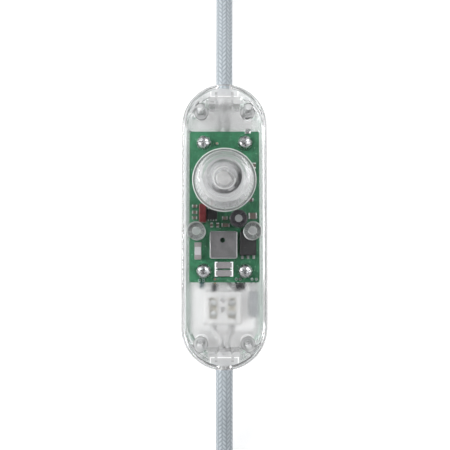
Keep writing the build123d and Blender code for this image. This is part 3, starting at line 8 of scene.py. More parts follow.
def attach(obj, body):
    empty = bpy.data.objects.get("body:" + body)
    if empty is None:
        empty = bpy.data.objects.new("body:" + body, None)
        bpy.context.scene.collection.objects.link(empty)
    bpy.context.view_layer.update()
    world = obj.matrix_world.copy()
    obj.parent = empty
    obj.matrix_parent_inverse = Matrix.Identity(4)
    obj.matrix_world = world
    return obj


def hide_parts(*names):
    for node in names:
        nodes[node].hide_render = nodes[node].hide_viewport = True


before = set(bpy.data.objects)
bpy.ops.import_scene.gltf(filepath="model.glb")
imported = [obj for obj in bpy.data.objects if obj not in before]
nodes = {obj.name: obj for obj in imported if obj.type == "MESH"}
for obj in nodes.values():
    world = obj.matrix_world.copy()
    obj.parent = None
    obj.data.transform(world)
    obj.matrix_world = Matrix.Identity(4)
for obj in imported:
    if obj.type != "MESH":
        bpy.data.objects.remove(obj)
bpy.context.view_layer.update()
HOUSING = "housing"
MM = 0.001

# Camera, fitted to the photograph. Places are in millimetres
SENSOR_WIDTH = 36.0
PICTURE_WIDTH = 450.0
FOCAL_PIXELS = 573.8
CAMERA_PLACE = (0.245, -13.57, 240.0)
CAMERA_TILT = 0.062
CLIP_START = 0.01

# Places in the CAD that the looks follow, in millimetres
KNOB_Y = 17.2
CORNER_X = 9.4
CORNER_Y = 46.5
STRAIGHT_Y = 38.5
POST_X = 11.0
POST_Y = -2.0
CLAMP_Y = 51.9
SCREW_X = 8.35
SCREW_Y = 25.95
SCREW_MIDDLE_Y = 8.2
SHIELD_X = -0.35
SHIELD_Y = -7.3
BOARD_TOP = 8.6


# Camera object
def add_camera():
    """Look down on the housing from over its lower half, as the photograph does."""
    data = bpy.data.cameras.new("camera")
    data.sensor_width = SENSOR_WIDTH
    data.lens = SENSOR_WIDTH * FOCAL_PIXELS / PICTURE_WIDTH
    data.clip_start = CLIP_START
    camera = bpy.data.objects.new("camera", data)
    bpy.context.scene.collection.objects.link(camera)
    camera.location = [value * MM for value in CAMERA_PLACE]
    camera.rotation_euler = (CAMERA_TILT, 0.0, 0.0)
    bpy.context.scene.camera = camera


add_camera()


# Mesh helpers
SMOOTH_ANGLE = 40.0
TUBE_SMOOTH_ANGLE = 50.0
SPLINE_STEPS = 24
SPLINE_ORDER = 3
SHORTEST_SPAN = 1e-12


def link(mesh, name, body):
    """Put a mesh in the scene as a piece that rides on a body."""
    obj = bpy.data.objects.new(name, mesh)
    bpy.context.scene.collection.objects.link(obj)
    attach(obj, body)
    return obj


def mesh_of(name, build):
    """Run build on a new bmesh and return its mesh, smooth up to SMOOTH_ANGLE."""
    bm = bmesh.new()
    build(bm)
    bmesh.ops.recalc_face_normals(bm, faces=bm.faces)
    mesh = bpy.data.meshes.new(name)
    bm.to_mesh(mesh)
    bm.free()
    mesh.shade_smooth()
    mesh.set_sharp_from_angle(angle=math.radians(SMOOTH_ANGLE))
    return mesh


def spline_points(name, points):
    """Follow a smooth NURBS line through the given points and read its points back."""
    curve = bpy.data.curves.new(name, "CURVE")
    curve.dimensions = "3D"
    curve.resolution_u = SPLINE_STEPS
    spline = curve.splines.new("NURBS")
    spline.points.add(len(points) - 1)
    for point, place in zip(spline.points, points):
        point.co = (*place, 1.0)
    spline.order_u = SPLINE_ORDER
    spline.use_endpoint_u = True
    holder = bpy.data.objects.new(name, curve)
    bpy.context.scene.collection.objects.link(holder)
    mesh = bpy.data.meshes.new_from_object(holder)
    found = [vertex.co.copy() for vertex in mesh.vertices]
    bpy.data.objects.remove(holder)
    bpy.data.curves.remove(curve)
    bpy.data.meshes.remove(mesh)
    return found


def evenly(points, step):
    """Space points evenly along a line, and return its length too."""
    lengths = [0.0]
    for a, b in zip(points, points[1:]):
        lengths.append(lengths[-1] + (b - a).length)
    count = max(2, round(lengths[-1] / step))
    spaced = []
    place = 0
    for index in range(count + 1):
        want = lengths[-1] * index / count
        while place < len(points) - 2 and lengths[place + 1] < want:
            place += 1
        span = max(lengths[place + 1] - lengths[place], SHORTEST_SPAN)
        share = (want - lengths[place]) / span
        spaced.append(points[place].lerp(points[place + 1], share))
    return spaced, lengths[-1]


def tube_mesh(name, points, radius, segments):
    """Make a closed tube along points. Its UV map holds metres along and turns around."""
    tangents = []
    for index in range(len(points)):
        ahead = points[min(index + 1, len(points) - 1)]
        behind = points[max(index - 1, 0)]
        tangents.append((ahead - behind).normalized())
    side = tangents[0].orthogonal().normalized()
    rings = []
    along = 0.0
    for index, (point, tangent) in enumerate(zip(points, tangents)):
        side = (side - tangent * side.dot(tangent)).normalized()
        up = tangent.cross(side)
        if index:
            along += (point - points[index - 1]).length
        ring = []
        for turn in range(segments):
            angle = 2 * math.pi * turn / segments
            ring.append(point + (side * math.cos(angle) + up * math.sin(angle)) * radius)
        rings.append((along, ring))
    bm = bmesh.new()
    uv = bm.loops.layers.uv.new("UVMap")
    made = [[bm.verts.new(place) for place in ring] for _, ring in rings]
    for row in range(len(made) - 1):
        for turn in range(segments):
            after = (turn + 1) % segments
            near, far = made[row], made[row + 1]
            face = bm.faces.new((near[turn], near[after], far[after], far[turn]))
            spots = (
                (rings[row][0], turn),
                (rings[row][0], turn + 1),
                (rings[row + 1][0], turn + 1),
                (rings[row + 1][0], turn),
            )
            for loop, (u, v) in zip(face.loops, spots):
                loop[uv].uv = (u, v / segments)
    bm.faces.new(reversed(made[0]))
    bm.faces.new(made[-1])
    bmesh.ops.recalc_face_normals(bm, faces=bm.faces)
    mesh = bpy.data.meshes.new(name)
    bm.to_mesh(mesh)
    bm.free()
    mesh.shade_smooth()
    mesh.set_sharp_from_angle(angle=math.radians(TUBE_SMOOTH_ANGLE))
    return mesh


# Cords. The mains hank has four layers of turns, and the lamp hank nearly two.
# Sizes are in millimetres, but for CORD_D and BRAID_STEP, which are in metres
CORD_D = 6.7 * MM
CORD_SIDES = 40
BRAID_STEP = 0.75 * MM
EXIT_Y = 54.8
EXIT_Z = 9.5
HANK_TURN = 126.7
HANK_RUN = 63.0
HANK_FAR = HANK_TURN + HANK_RUN
ARC_TURNS = (22.5, 67.5, 112.5, 157.5)
HALF_STEP = math.radians(22.5)
REACH = 1.0 / math.cos(HALF_STEP)
SWING = math.tan(HALF_STEP)
RUN_R = (20.0, 23.35, 20.0, 23.35)
RUN_Z = (4.0, 9.95, 15.75, 21.55)
NEAR_Z = (10.3, 17.0, 23.7, 30.3)
ARC_LIFTS = (0.38, 0.9, 1.0, 0.93)
LAYERS = len(RUN_R)
FLOOR_SAG = 0.5
RUN_LIFT = 0.1
BACK_LIFT = 0.2


def hank_layer(layer, end):
    """Points of one turn: out on the right run, round the far end, back on the left run."""
    r = RUN_R[layer]
    z = RUN_Z[layer]
    low = z - FLOOR_SAG if layer == 0 else z
    middle = (HANK_TURN + HANK_FAR) / 2
    points = [(r, HANK_TURN + SWING * r, z), (r, middle, z + RUN_LIFT), (r, HANK_FAR - SWING * r, z)]
    for turn in ARC_TURNS:
        angle = math.radians(turn)
        points.append((r * REACH * math.cos(angle), HANK_FAR + r * REACH * math.sin(angle), low))
    points.append((-r, HANK_FAR - SWING * r, z))
    points.append((-r, middle, z + RUN_LIFT))
    points.append((-r, HANK_TURN + SWING * r, z + BACK_LIFT))
    return [(x, end * y, h) for x, y, h in points]


def near_arc(layer, end):
    """Points that take the cord over the hank's near end, from one layer to the next."""
    r_from = RUN_R[layer]
    r_to = RUN_R[layer + 1]
    z_from = RUN_Z[layer]
    z_to = NEAR_Z[layer]
    points = []
    for place, turn in enumerate(ARC_TURNS):
        r = r_from + (r_to - r_from) * place / (len(ARC_TURNS) - 1)
        angle = math.radians(180 + turn)
        x = r * REACH * math.cos(angle)
        y = HANK_TURN + r * REACH * math.sin(angle)
        points.append((x, end * y, z_from + (z_to - z_from) * ARC_LIFTS[place]))
    return points


def lead_in(end):
    """Points from the housing's end wall to the first run of the hank."""
    points = [
        (0, EXIT_Y, EXIT_Z),
        (0, 68.5, EXIT_Z),
        (0, 84.5, 4.15),
        (0, 100.0, 3.6),
        (1.0, 107.0, 3.45),
        (9.0, 116.0, 3.4),
        (19.0, 125.5, 3.5),
    ]
    return [(x, end * y, z) for x, y, z in points]


mains_route = lead_in(-1)
for layer in range(LAYERS):
    mains_route += hank_layer(layer, -1)
    if layer < LAYERS - 1:
        mains_route += near_arc(layer, -1)
mains_route += [
    (-22.6, -114.0, 24.5),
    (-12.0, -105.4, 29.5),
    (2.0, -103.6, 30.6),
    (15.0, -106.8, 30.4),
    (20.4, -119.0, 30.9),
    (20.0, -131.5, 31.91),
    (18.05, -140.29, 31.91),
    (14.25, -148.44, 31.91),
]
lamp_route = lead_in(1) + hank_layer(0, 1) + near_arc(0, 1)
lamp_route += hank_layer(1, 1)[:-2]
lamp_route += [(-23.35, 166.0, 9.95), (-23.35, 158.0, 9.6), (-23.35, 146.7, 9.2)]


def braided_cord(name, route):
    """Make the braided tube along a route, given in millimetres."""
    points = spline_points(name, [Vector(place) * MM for place in route])
    spaced, length = evenly(points, BRAID_STEP)
    mesh = tube_mesh(name, spaced, CORD_D / 2, CORD_SIDES)
    obj = link(mesh, name, HOUSING)
    return obj, spaced, length


mains_braid, mains_path, mains_length = braided_cord("mains_braid", mains_route)
lamp_braid, lamp_path, lamp_length = braided_cord("lamp_braid", lamp_route)
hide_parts("mains_cord", "mains_hank", "plug_cord")
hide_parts("lamp_cord", "lamp_hank")
print("cord lengths", round(mains_length, 3), round(lamp_length, 3))


# Node helpers. After so many glossy turns or refractions a ray goes straight on through clear plastic
GLOSSY_TURNS = 2.5
REFRACTIONS = 6.5
# Half the width of a mask's soft end, in millimetres
SOFT = 0.06
# Scales per millimetre and the grain's share of the height of moulded clear plastic
WAVE_SCALE = 0.06
GRAIN_SCALE = 1.3
GRAIN_SHARE = 0.06


class Shader:
    """A material under construction, with short ways to add and join its nodes."""

    def __init__(self, name):
        self.material = bpy.data.materials.new(name)
        self.material.use_nodes = True
        self.tree = self.material.node_tree
        self.tree.nodes.clear()
        self.out = self.tree.nodes.new("ShaderNodeOutputMaterial")

    def node(self, kind, inputs=None, **settings):
        """Add a node, set its properties and its inputs, which are values or sockets."""
        made = self.tree.nodes.new("ShaderNode" + kind)
        for key, value in settings.items():
            setattr(made, key, value)
        for key, value in (inputs or {}).items():
            if isinstance(value, bpy.types.NodeSocket):
                self.tree.links.new(value, made.inputs[key])
            else:
                made.inputs[key].default_value = value
        return made

    def math(self, operation, a, b=None, clamp=False):
        """Add a Math node and return its output."""
        inputs = {0: a}
        if b is not None:
            inputs[1] = b
        return self.node("Math", inputs, operation=operation, use_clamp=clamp).outputs[0]

    def coords(self, stretch=(1.0, 1.0, 1.0)):
        """Object coordinates in millimetres times stretch."""
        place = self.node("TexCoord").outputs["Object"]
        size = [share / MM for share in stretch]
        return self.node("Mapping", {"Vector": place, "Scale": size}).outputs[0]

    def noise(self, scale, detail=3.0, stretch=(1.0, 1.0, 1.0), rough=0.5):
        """Noise whose size is per millimetre."""
        inputs = {"Vector": self.coords(stretch), "Scale": scale, "Detail": detail, "Roughness": rough}
        return self.node("TexNoise", inputs).outputs[0]

    def ramp(self, factor, low, high, to_low=0.0, to_high=1.0):
        """Map a range onto another and clamp it."""
        inputs = {"Value": factor, 1: low, 2: high, 3: to_low, 4: to_high}
        return self.node("MapRange", inputs).outputs[0]

    def fall(self, value, low, high):
        """One below a range of value, nought above it."""
        return self.ramp(value, low, high, 1.0, 0.0)

    def mix(self, factor, a, b):
        """Mix two colours, each a colour or a socket, by a socket."""
        made = self.tree.nodes.new("ShaderNodeMix")
        made.data_type = "RGBA"
        self.tree.links.new(factor, made.inputs[0])
        for socket, value in ((made.inputs[6], a), (made.inputs[7], b)):
            if isinstance(value, bpy.types.NodeSocket):
                self.tree.links.new(value, socket)
            else:
                socket.default_value = (*value, 1.0)
        return made.outputs[2]

    def bump(self, height, distance):
        """Turn a height into a normal. Distance is in millimetres."""
        inputs = {"Height": height, "Distance": distance * MM, "Strength": 1.0}
        return self.node("Bump", inputs).outputs[0]

    def principled(self, **values):
        """Add a Principled shader, its inputs named with underscores for spaces."""
        inputs = {}
        for key, value in values.items():
            if key.endswith("Color") or key.endswith("Tint"):
                value = value if isinstance(value, bpy.types.NodeSocket) else (*value, 1.0)
            inputs[key.replace("_", " ")] = value
        return self.node("BsdfPrincipled", inputs)

    def reach(self, a, b):
        """Length of the two sides a and b together."""
        squares = self.math("ADD", self.times(a, a), self.times(b, b))
        return self.math("SQRT", squares)

    def band(self, value, low, high, soft=SOFT):
        """One inside a range of value, nought outside it, with soft ends."""
        up = self.ramp(value, low - soft, low + soft)
        return self.times(up, self.within(value, high, soft))

    def within(self, value, limit, soft=SOFT):
        """One below a limit of value, nought above it, with a soft end."""
        return self.fall(value, limit - soft, limit + soft)

    def most(self, *masks):
        """The largest of several masks."""
        found = masks[0]
        for mask in masks[1:]:
            found = self.math("MAXIMUM", found, mask)
        return found

    def times(self, *masks):
        """The product of several masks. Each after the first may be a number."""
        found = masks[0]
        for mask in masks[1:]:
            found = self.math("MULTIPLY", found, mask)
        return found

    def past(self, value, centre):
        """How far the size of value is past a centre."""
        return self.math("SUBTRACT", self.math("ABSOLUTE", value), centre)

    def corner_reach(self, x, y):
        """Distance from the axis of the nearest corner screw."""
        return self.reach(self.past(x, CORNER_X), self.past(y, CORNER_Y))

    def side_reach(self, x, y):
        """Distance from the line that the housing's rounded outline runs round."""
        return self.reach(x, self.math("MAXIMUM", self.past(y, STRAIGHT_Y), 0.0))

    def ripple(self):
        """Height of the slight waves and grain in moulded clear plastic."""
        waves = self.noise(WAVE_SCALE, 2.0)
        grain = self.noise(GRAIN_SCALE, 2.0)
        return self.math("ADD", waves, self.times(grain, GRAIN_SHARE))

    def straight(self, shade):
        """Shader that lets rays straight through, a little dimmed."""
        return self.node("BsdfTransparent", {"Color": (shade, shade, shade, 1.0)})

    def clear(self, glass, shade, turns=GLOSSY_TURNS):
        """Let lamp light, and rays after so many turns, straight through a clear shader."""
        path = self.node("LightPath")
        trapped = self.math("GREATER_THAN", path.outputs["Glossy Depth"], turns)
        lost = self.math("GREATER_THAN", path.outputs["Transmission Depth"], REFRACTIONS)
        ray = self.most(path.outputs["Is Shadow Ray"], trapped, lost)
        return self.blend(ray, glass, self.straight(shade))

    def blend(self, factor, first, second):
        """Mix two shaders by a mask."""
        return self.node("MixShader", {0: factor, 1: first.outputs[0], 2: second.outputs[0]})

    def finish(self, shader):
        """Join a shader to the output and return the material."""
        self.tree.links.new(shader.outputs[0], self.out.inputs["Surface"])
        return self.material


def grey(level):
    """A grey colour of one level."""
    return (level, level, level)


# Clear plastics. A shade is what is left of the light that goes straight through
CLEAR_IOR = 1.49
KNOB_IOR = 1.5
CLEAR_WHITE = (0.97, 0.975, 0.98)
HAZE = 0.45
STRAIGHT_SHADE = 0.97
CLAMP_SHADE = 0.93
COVER_SHADE = 0.92
TRAY_SHADE = 0.86
KNOB_SHADE = 0.90
KNOB_TURNS = 3.5

# Masks, in millimetres. Two values are the ends of a band or of a slope, and a third is half the
# width of a band's soft ends
PILOT_R = 1.3
PILLAR_R = 2.05
PILLAR_FOOT_Z = (9.8, 10.0)
UNDER_ROOF_Z = (19.5, 19.7)
ROOF_Z = (19.6, 20.3)
OUTER_WALL = (15.6, 16.0)
FROST_SCALE = 4.0
FROST_DEPTH = 1.2
FROST_FLAT_Y = 10.0
FROST_ENDS = ((36.8, 49.0, 0.3), (-45.0, -22.3, 0.3))
FROST_SIDE = (13.6, 14.0)
FROST_CORNER = (5.6, 6.2)
POST_MASK_R = 3.6
POST_DISC_R = 3.3
POST_RIM = (3.2, 3.6, 0.05)
POST_BORE_RIM = (1.45, 1.7, 0.05)
TOWER_R = 3.0
TOWER_MASK_R = 3.2
TOWER_FOOT_Z = (1.7, 2.0)
TOWER_TOP_Z = (8.6, 8.9)
TOWER_EDGE = (2.65, TOWER_R, 0.04)
TOWER_BORE_EDGE = (1.75, 1.95, 0.04)
TOWER_MIDDLE_R = 1.0
BRIGHT_FLOOR_Y = (-42.0, -24.0, 1.2)
BRIGHT_FLOOR_SIDE = (12.0, 13.0)
FLOOR_X = (-10.0, 5.0)
WALLS_X = (-4.0, 4.0)
WALL_FOOT = (14.0, 14.95)
TRAY_WALL = (14.9, 15.2)
FLANGE_TOP_Z = (23.6, 23.8)
FLANGE_R = (9.0, 11.9)
FLANGE_RIM = (11.95, 12.05)
OUTER_LINE = (11.45, 11.75, 0.08)
PALE_LINE = (10.75, 11.0, 0.05)
INNER_LINE = (10.2, 10.45)
WELL_WALL = (5.35, 6.5, 0.15)
WELL_Z = (24.5, 24.8)
WELL_FLOOR = (5.1, 6.6, 0.2)
WELL_FLOOR_Z = (24.6, 25.4)
WELL_FLOOR_X = -0.2
WELL_FLOOR_Y = 0.9
CONE_FAR_Y = (3.0, 10.0)
CONE_FOOT_Z = (24.0, 24.4)
HUB_EDGE = (3.85, 4.5)
HUB_TOP_Z = (28.0, 28.3)

# Half the length along x and half the width along y of the frames over the clamps
CLAMP_FRAME = (5.6, 2.0)
CLAMP_INNER = (5.0, 1.5)


def clamp_plastic():
    """Hazy clear plastic of the cord clamps."""
    s = Shader("clear_clamp")
    glass = s.principled(
        Base_Color=grey(0.66),
        Roughness=0.10,
        IOR=CLEAR_IOR,
        Transmission_Weight=1.0 - HAZE,
        Normal=s.bump(s.ripple(), 0.04),
    )
    return s.finish(s.clear(glass, CLAMP_SHADE))


def cover_plastic():
    """Clear cover: polished, with a fine finish under the roof's ends, paler posts with painted
    highlights on their rim, painted light and shade at its corners and painted shade on its outer
    wall.
    """
    s = Shader("clear_cover")
    x, y, z = s.node("SeparateXYZ", {0: s.coords()}).outputs
    corner = s.corner_reach(x, y)
    side = s.side_reach(x, y)
    post = s.reach(s.past(x, POST_X), s.math("SUBTRACT", y, POST_Y))
    roof = s.band(z, *ROOF_Z)
    below = s.fall(z, *UNDER_ROOF_Z)

    # Polished plastic, and the fine finish on the roof's underside, which leaves out the corners
    ends = s.most(*[s.band(y, *end) for end in FROST_ENDS])
    inside = s.times(s.fall(side, *FROST_SIDE), s.ramp(corner, *FROST_CORNER))
    frost = s.times(ends, roof, inside)
    rough = s.math("SUBTRACT", s.noise(FROST_SCALE, 1.0), 0.5)
    depth = s.ramp(y, -FROST_FLAT_Y, FROST_FLAT_Y, FROST_DEPTH, 2.0 * FROST_DEPTH)
    fine = s.times(rough, frost, depth)
    # The grey tint on the outer wall is painted shade
    glass = s.principled(
        Base_Color=s.mix(s.ramp(side, *OUTER_WALL), CLEAR_WHITE, (0.88, 0.885, 0.89)),
        Roughness=0.02,
        IOR=CLEAR_IOR,
        Transmission_Weight=1.0,
        Normal=s.bump(s.math("ADD", s.ripple(), fine), 0.05),
    )

    # Pillars and posts, which are looked straight through
    thin = s.times(below, s.most(s.within(corner, PILLAR_R), s.within(post, POST_MASK_R)))

    # Pale discs on the posts' ends, with painted highlights on the rim of each post and of its bore
    outer_rim_highlight = s.band(post, *POST_RIM)
    bore_rim_highlight = s.band(post, *POST_BORE_RIM)
    rim_highlights = s.most(outer_rim_highlight, s.times(bore_rim_highlight, 0.7))
    face = s.within(post, POST_DISC_R)
    disc = s.times(below, s.most(s.times(face, 0.60), s.times(rim_highlights, 0.80)))

    # Paler frames over the clamps
    end_x = s.math("ABSOLUTE", x)
    end_y = s.math("ABSOLUTE", s.past(y, CLAMP_Y))
    inner = s.times(s.within(end_x, CLAMP_INNER[0]), s.within(end_y, CLAMP_INNER[1]))
    whole = s.times(s.within(end_x, CLAMP_FRAME[0]), s.within(end_y, CLAMP_FRAME[1]))
    line = s.math("SUBTRACT", whole, inner)
    frames = s.times(roof, s.most(s.times(line, 0.85), s.times(inner, 0.55)))

    # Pilot holes and the feet of the pillars: a lighter grey disc of painted light in the holes and a
    # darker grey ring of painted shade on the feet
    pilot = s.times(below, s.within(corner, PILOT_R))
    foot = s.times(s.fall(z, *PILLAR_FOOT_Z), s.band(corner, PILOT_R, PILLAR_R))

    tone = s.mix(s.most(s.times(line, roof), rim_highlights), (0.37, 0.38, 0.38), grey(0.80))
    tone = s.mix(s.times(inner, roof), tone, (0.56, 0.565, 0.57))
    tone = s.mix(pilot, tone, grey(0.55))
    pale = s.principled(Base_Color=tone, Roughness=0.5)
    haze = s.most(disc, frames, s.times(pilot, 0.40), s.times(foot, 0.55))
    shown = s.blend(haze, s.blend(thin, glass, s.straight(STRAIGHT_SHADE)), pale)
    return s.finish(s.clear(shown, COVER_SHADE))


def tray_plastic():
    """Clear tray: clear in its walls but for painted shade on the right, greyer in its floor with
    painted shadow, and rings of painted light and shade on its towers.
    """
    s = Shader("clear_tray")
    x, y, z = s.node("SeparateXYZ", {0: s.coords()}).outputs
    side = s.side_reach(x, y)
    corner = s.corner_reach(x, y)

    # Painted shadow greys the floor, less of it round the terminal block, where painted light offsets
    # the block's shadow, most to the right. Painted shade darkens the walls towards the right, and the
    # walls' foot, most on the left
    bright = s.times(s.band(y, *BRIGHT_FLOOR_Y), s.fall(side, *BRIGHT_FLOOR_SIDE))
    right = s.ramp(x, *WALLS_X)
    floor = s.mix(bright, grey(0.67), s.mix(s.ramp(x, *FLOOR_X), grey(0.80), grey(1.0)))
    walls = s.mix(right, CLEAR_WHITE, (0.82, 0.825, 0.825))
    foot = s.mix(right, (0.27, 0.33, 0.30), (0.52, 0.60, 0.56))
    tone = s.mix(s.ramp(side, *TRAY_WALL), floor, walls)
    tone = s.mix(s.band(side, *WALL_FOOT), tone, foot)
    glass = s.principled(
        Base_Color=tone,
        Roughness=0.05,
        IOR=CLEAR_IOR,
        Transmission_Weight=1.0,
        Normal=s.bump(s.ripple(), 0.06),
    )

    # Corner towers, which are looked straight through, with rings on their tops: dark edges and a grey
    # face of painted shade round a pale middle of painted light
    thin = s.times(s.ramp(z, *TOWER_FOOT_Z), s.within(corner, TOWER_MASK_R))
    top = s.ramp(z, *TOWER_TOP_Z)
    face = s.band(corner, PILOT_R, TOWER_R)
    edge = s.most(s.band(corner, *TOWER_EDGE), s.band(corner, *TOWER_BORE_EDGE))
    middle = s.within(corner, TOWER_MIDDLE_R)
    ring = s.times(top, s.most(s.times(face, 0.60), s.times(edge, 0.90), s.times(middle, 0.60)))
    dull = s.mix(edge, s.mix(face, grey(0.85), grey(0.42)), grey(0.20))
    pale = s.principled(Base_Color=dull, Roughness=0.5)
    shown = s.blend(ring, s.blend(thin, glass, s.straight(STRAIGHT_SHADE)), pale)
    return s.finish(s.clear(shown, TRAY_SHADE))


def knob_plastic():
    """Clear knob: a painted highlight on its rim with painted dark lines of shade inside it, a shaded
    well and a painted highlight on its hub.
    """
    s = Shader("clear_knob")
    x, along, z = s.node("SeparateXYZ", {0: s.coords()}).outputs
    y = s.math("SUBTRACT", along, KNOB_Y)
    radius = s.reach(x, y)
    low = s.fall(z, *FLANGE_TOP_Z)

    # Shade on the well's wall and floor, strongest at the lower right, away from the key lamp
    lean = s.math("DIVIDE", s.math("SUBTRACT", x, y), radius)
    facing = s.ramp(lean, -0.6, 0.7, 0.25, 1.0)
    well = s.times(s.band(radius, *WELL_WALL), s.ramp(z, *WELL_Z), facing, 0.93)
    across = s.reach(s.math("SUBTRACT", x, WELL_FLOOR_X), s.math("SUBTRACT", y, WELL_FLOOR_Y))
    cup = s.times(s.band(across, *WELL_FLOOR), s.band(z, *WELL_FLOOR_Z), facing, 0.80)

    # Painted dark lines of shade on the flange, and slight shade on it and on the cone's far side
    outer_shade_line = s.times(s.band(radius, *OUTER_LINE), 0.75)
    inner_shade_line = s.times(s.band(radius, *INNER_LINE), 0.65)
    line = s.times(low, s.most(outer_shade_line, inner_shade_line))
    flange = s.times(low, s.band(radius, *FLANGE_R), 0.30)
    upper = s.times(s.ramp(y, *CONE_FAR_Y), s.ramp(z, *CONE_FOOT_Z), 0.35)
    dark = s.most(well, cup, line, flange, upper)
    glass = s.principled(
        Base_Color=s.mix(dark, (0.84, 0.845, 0.85), (0.02, 0.02, 0.022)),
        Roughness=0.04,
        IOR=KNOB_IOR,
        Transmission_Weight=0.74,
        Normal=s.bump(s.noise(0.10, 2.0), 0.03),
    )

    # Painted highlights: a pale rim, a pale line on the flange and a pale top of the hub
    highlight_line = s.times(s.band(radius, *PALE_LINE), 0.55)
    rim = s.times(low, s.most(s.ramp(radius, *FLANGE_RIM), highlight_line), 0.8)
    hub = s.times(s.ramp(z, *HUB_TOP_Z), s.band(radius, *HUB_EDGE), 0.5)
    pale = s.principled(Base_Color=grey(0.80), Roughness=0.4)
    shown = s.blend(s.most(rim, hub), glass, pale)
    return s.finish(s.clear(shown, KNOB_SHADE, KNOB_TURNS))


# Metals and moulded parts. DOME_SQUARE is the square of the radius of the screws' dome
DOME_SQUARE = 17.0
CAN_EDGE_HIGHLIGHT = (5.2, 5.4)
CAN_SIDE_HIGHLIGHT = (5.1, 5.3)
TARNISH = 0.12


def domed_steel():
    """Bright screw steel whose flat heads catch light as domes do."""
    s = Shader("screw_steel")
    x, y, _ = s.node("SeparateXYZ", {0: s.coords()}).outputs
    along = s.past(s.math("SUBTRACT", y, SCREW_MIDDLE_Y), SCREW_Y)
    radius = s.reach(s.past(x, SCREW_X), along)
    drop = s.math("SUBTRACT", DOME_SQUARE, s.times(radius, radius))
    dome = s.math("SQRT", s.math("MAXIMUM", drop, 0.01))
    marks = s.noise(1.5, 3.0)
    height = s.math("ADD", dome, s.times(marks, 0.02))
    shader = s.principled(
        Base_Color=(0.78, 0.78, 0.79),
        Roughness=s.ramp(marks, 0.3, 0.7, 0.20, 0.34),
        Metallic=1.0,
        Normal=s.bump(height, 1.0),
    )
    return s.finish(shader)


def can_metal():
    """Folded grey sheet with painted highlights along its edges, strongest at the right and below."""
    s = Shader("can_grey")
    across, along, _ = s.node("SeparateXYZ", {0: s.coords()}).outputs
    x = s.math("SUBTRACT", across, SHIELD_X)
    y = s.math("SUBTRACT", along, SHIELD_Y)
    # Painted highlights along the edges, strongest at the right and below
    edge = s.math("MAXIMUM", s.math("ABSOLUTE", x), s.math("ABSOLUTE", y))
    near = s.math("MAXIMUM", x, s.times(y, -1.0))
    rim = s.math("MAXIMUM", s.ramp(edge, *CAN_EDGE_HIGHLIGHT, 0.0, 0.4), s.ramp(near, *CAN_SIDE_HIGHLIGHT))
    grain = s.noise(4.0, 4.0, (1.0, 0.08, 1.0), 0.6)
    cloud = s.noise(0.3, 3.0)
    tone = s.mix(s.ramp(cloud, 0.35, 0.65), (0.25, 0.245, 0.25), (0.20, 0.198, 0.202))
    shader = s.principled(
        Base_Color=s.mix(rim, tone, (0.75, 0.75, 0.76)),
        Roughness=s.ramp(grain, 0.3, 0.7, 0.36, 0.52),
        Metallic=0.85,
        Normal=s.bump(grain, 0.004),
    )
    return s.finish(shader)


def moulded(name, color, roughness, speck, relief, scale, coat=0.0):
    """Opaque moulded plastic or ceramic with fine grain and slight tone changes."""
    s = Shader(name)
    grain = s.noise(scale, 4.0)
    cloud = s.noise(0.25, 2.0)
    dark = [channel * (1 - 2.2 * speck) for channel in color]
    light = [min(1.0, channel * (1 + speck) + 0.004) for channel in color]
    mottle = s.math("ADD", grain, s.times(cloud, 0.5))
    shader = s.principled(
        Base_Color=s.mix(s.ramp(mottle, 0.5, 1.0), dark, light),
        Roughness=s.ramp(grain, 0.3, 0.7, roughness * 0.88, min(1.0, roughness * 1.12)),
        Coat_Weight=coat,
        Coat_Roughness=0.12,
        Normal=s.bump(grain, relief),
    )
    return s.finish(shader)


def metal(name, color, roughness, stretch=(1.0, 1.0, 1.0), scale=2.0, relief=0.004):
    """Bare or plated metal with fine drawn or cast marks and slight tarnish."""
    s = Shader(name)
    marks = s.noise(scale, 4.0, stretch, 0.6)
    cloud = s.noise(0.4, 3.0)
    dull = [channel * (1 - TARNISH) for channel in color]
    shader = s.principled(
        Base_Color=s.mix(s.ramp(cloud, 0.4, 0.65), color, dull),
        Roughness=s.ramp(marks, 0.3, 0.7, roughness * 0.75, min(1.0, roughness * 1.3)),
        Metallic=1.0,
        Normal=s.bump(marks, relief),
    )
    return s.finish(shader)


# Braid. Its pitch is in millimetres
BRAID_COLUMNS = 12
BRAID_PITCH = 1.86
STRAND_SLOPE = 0.95
FIBRES = 5


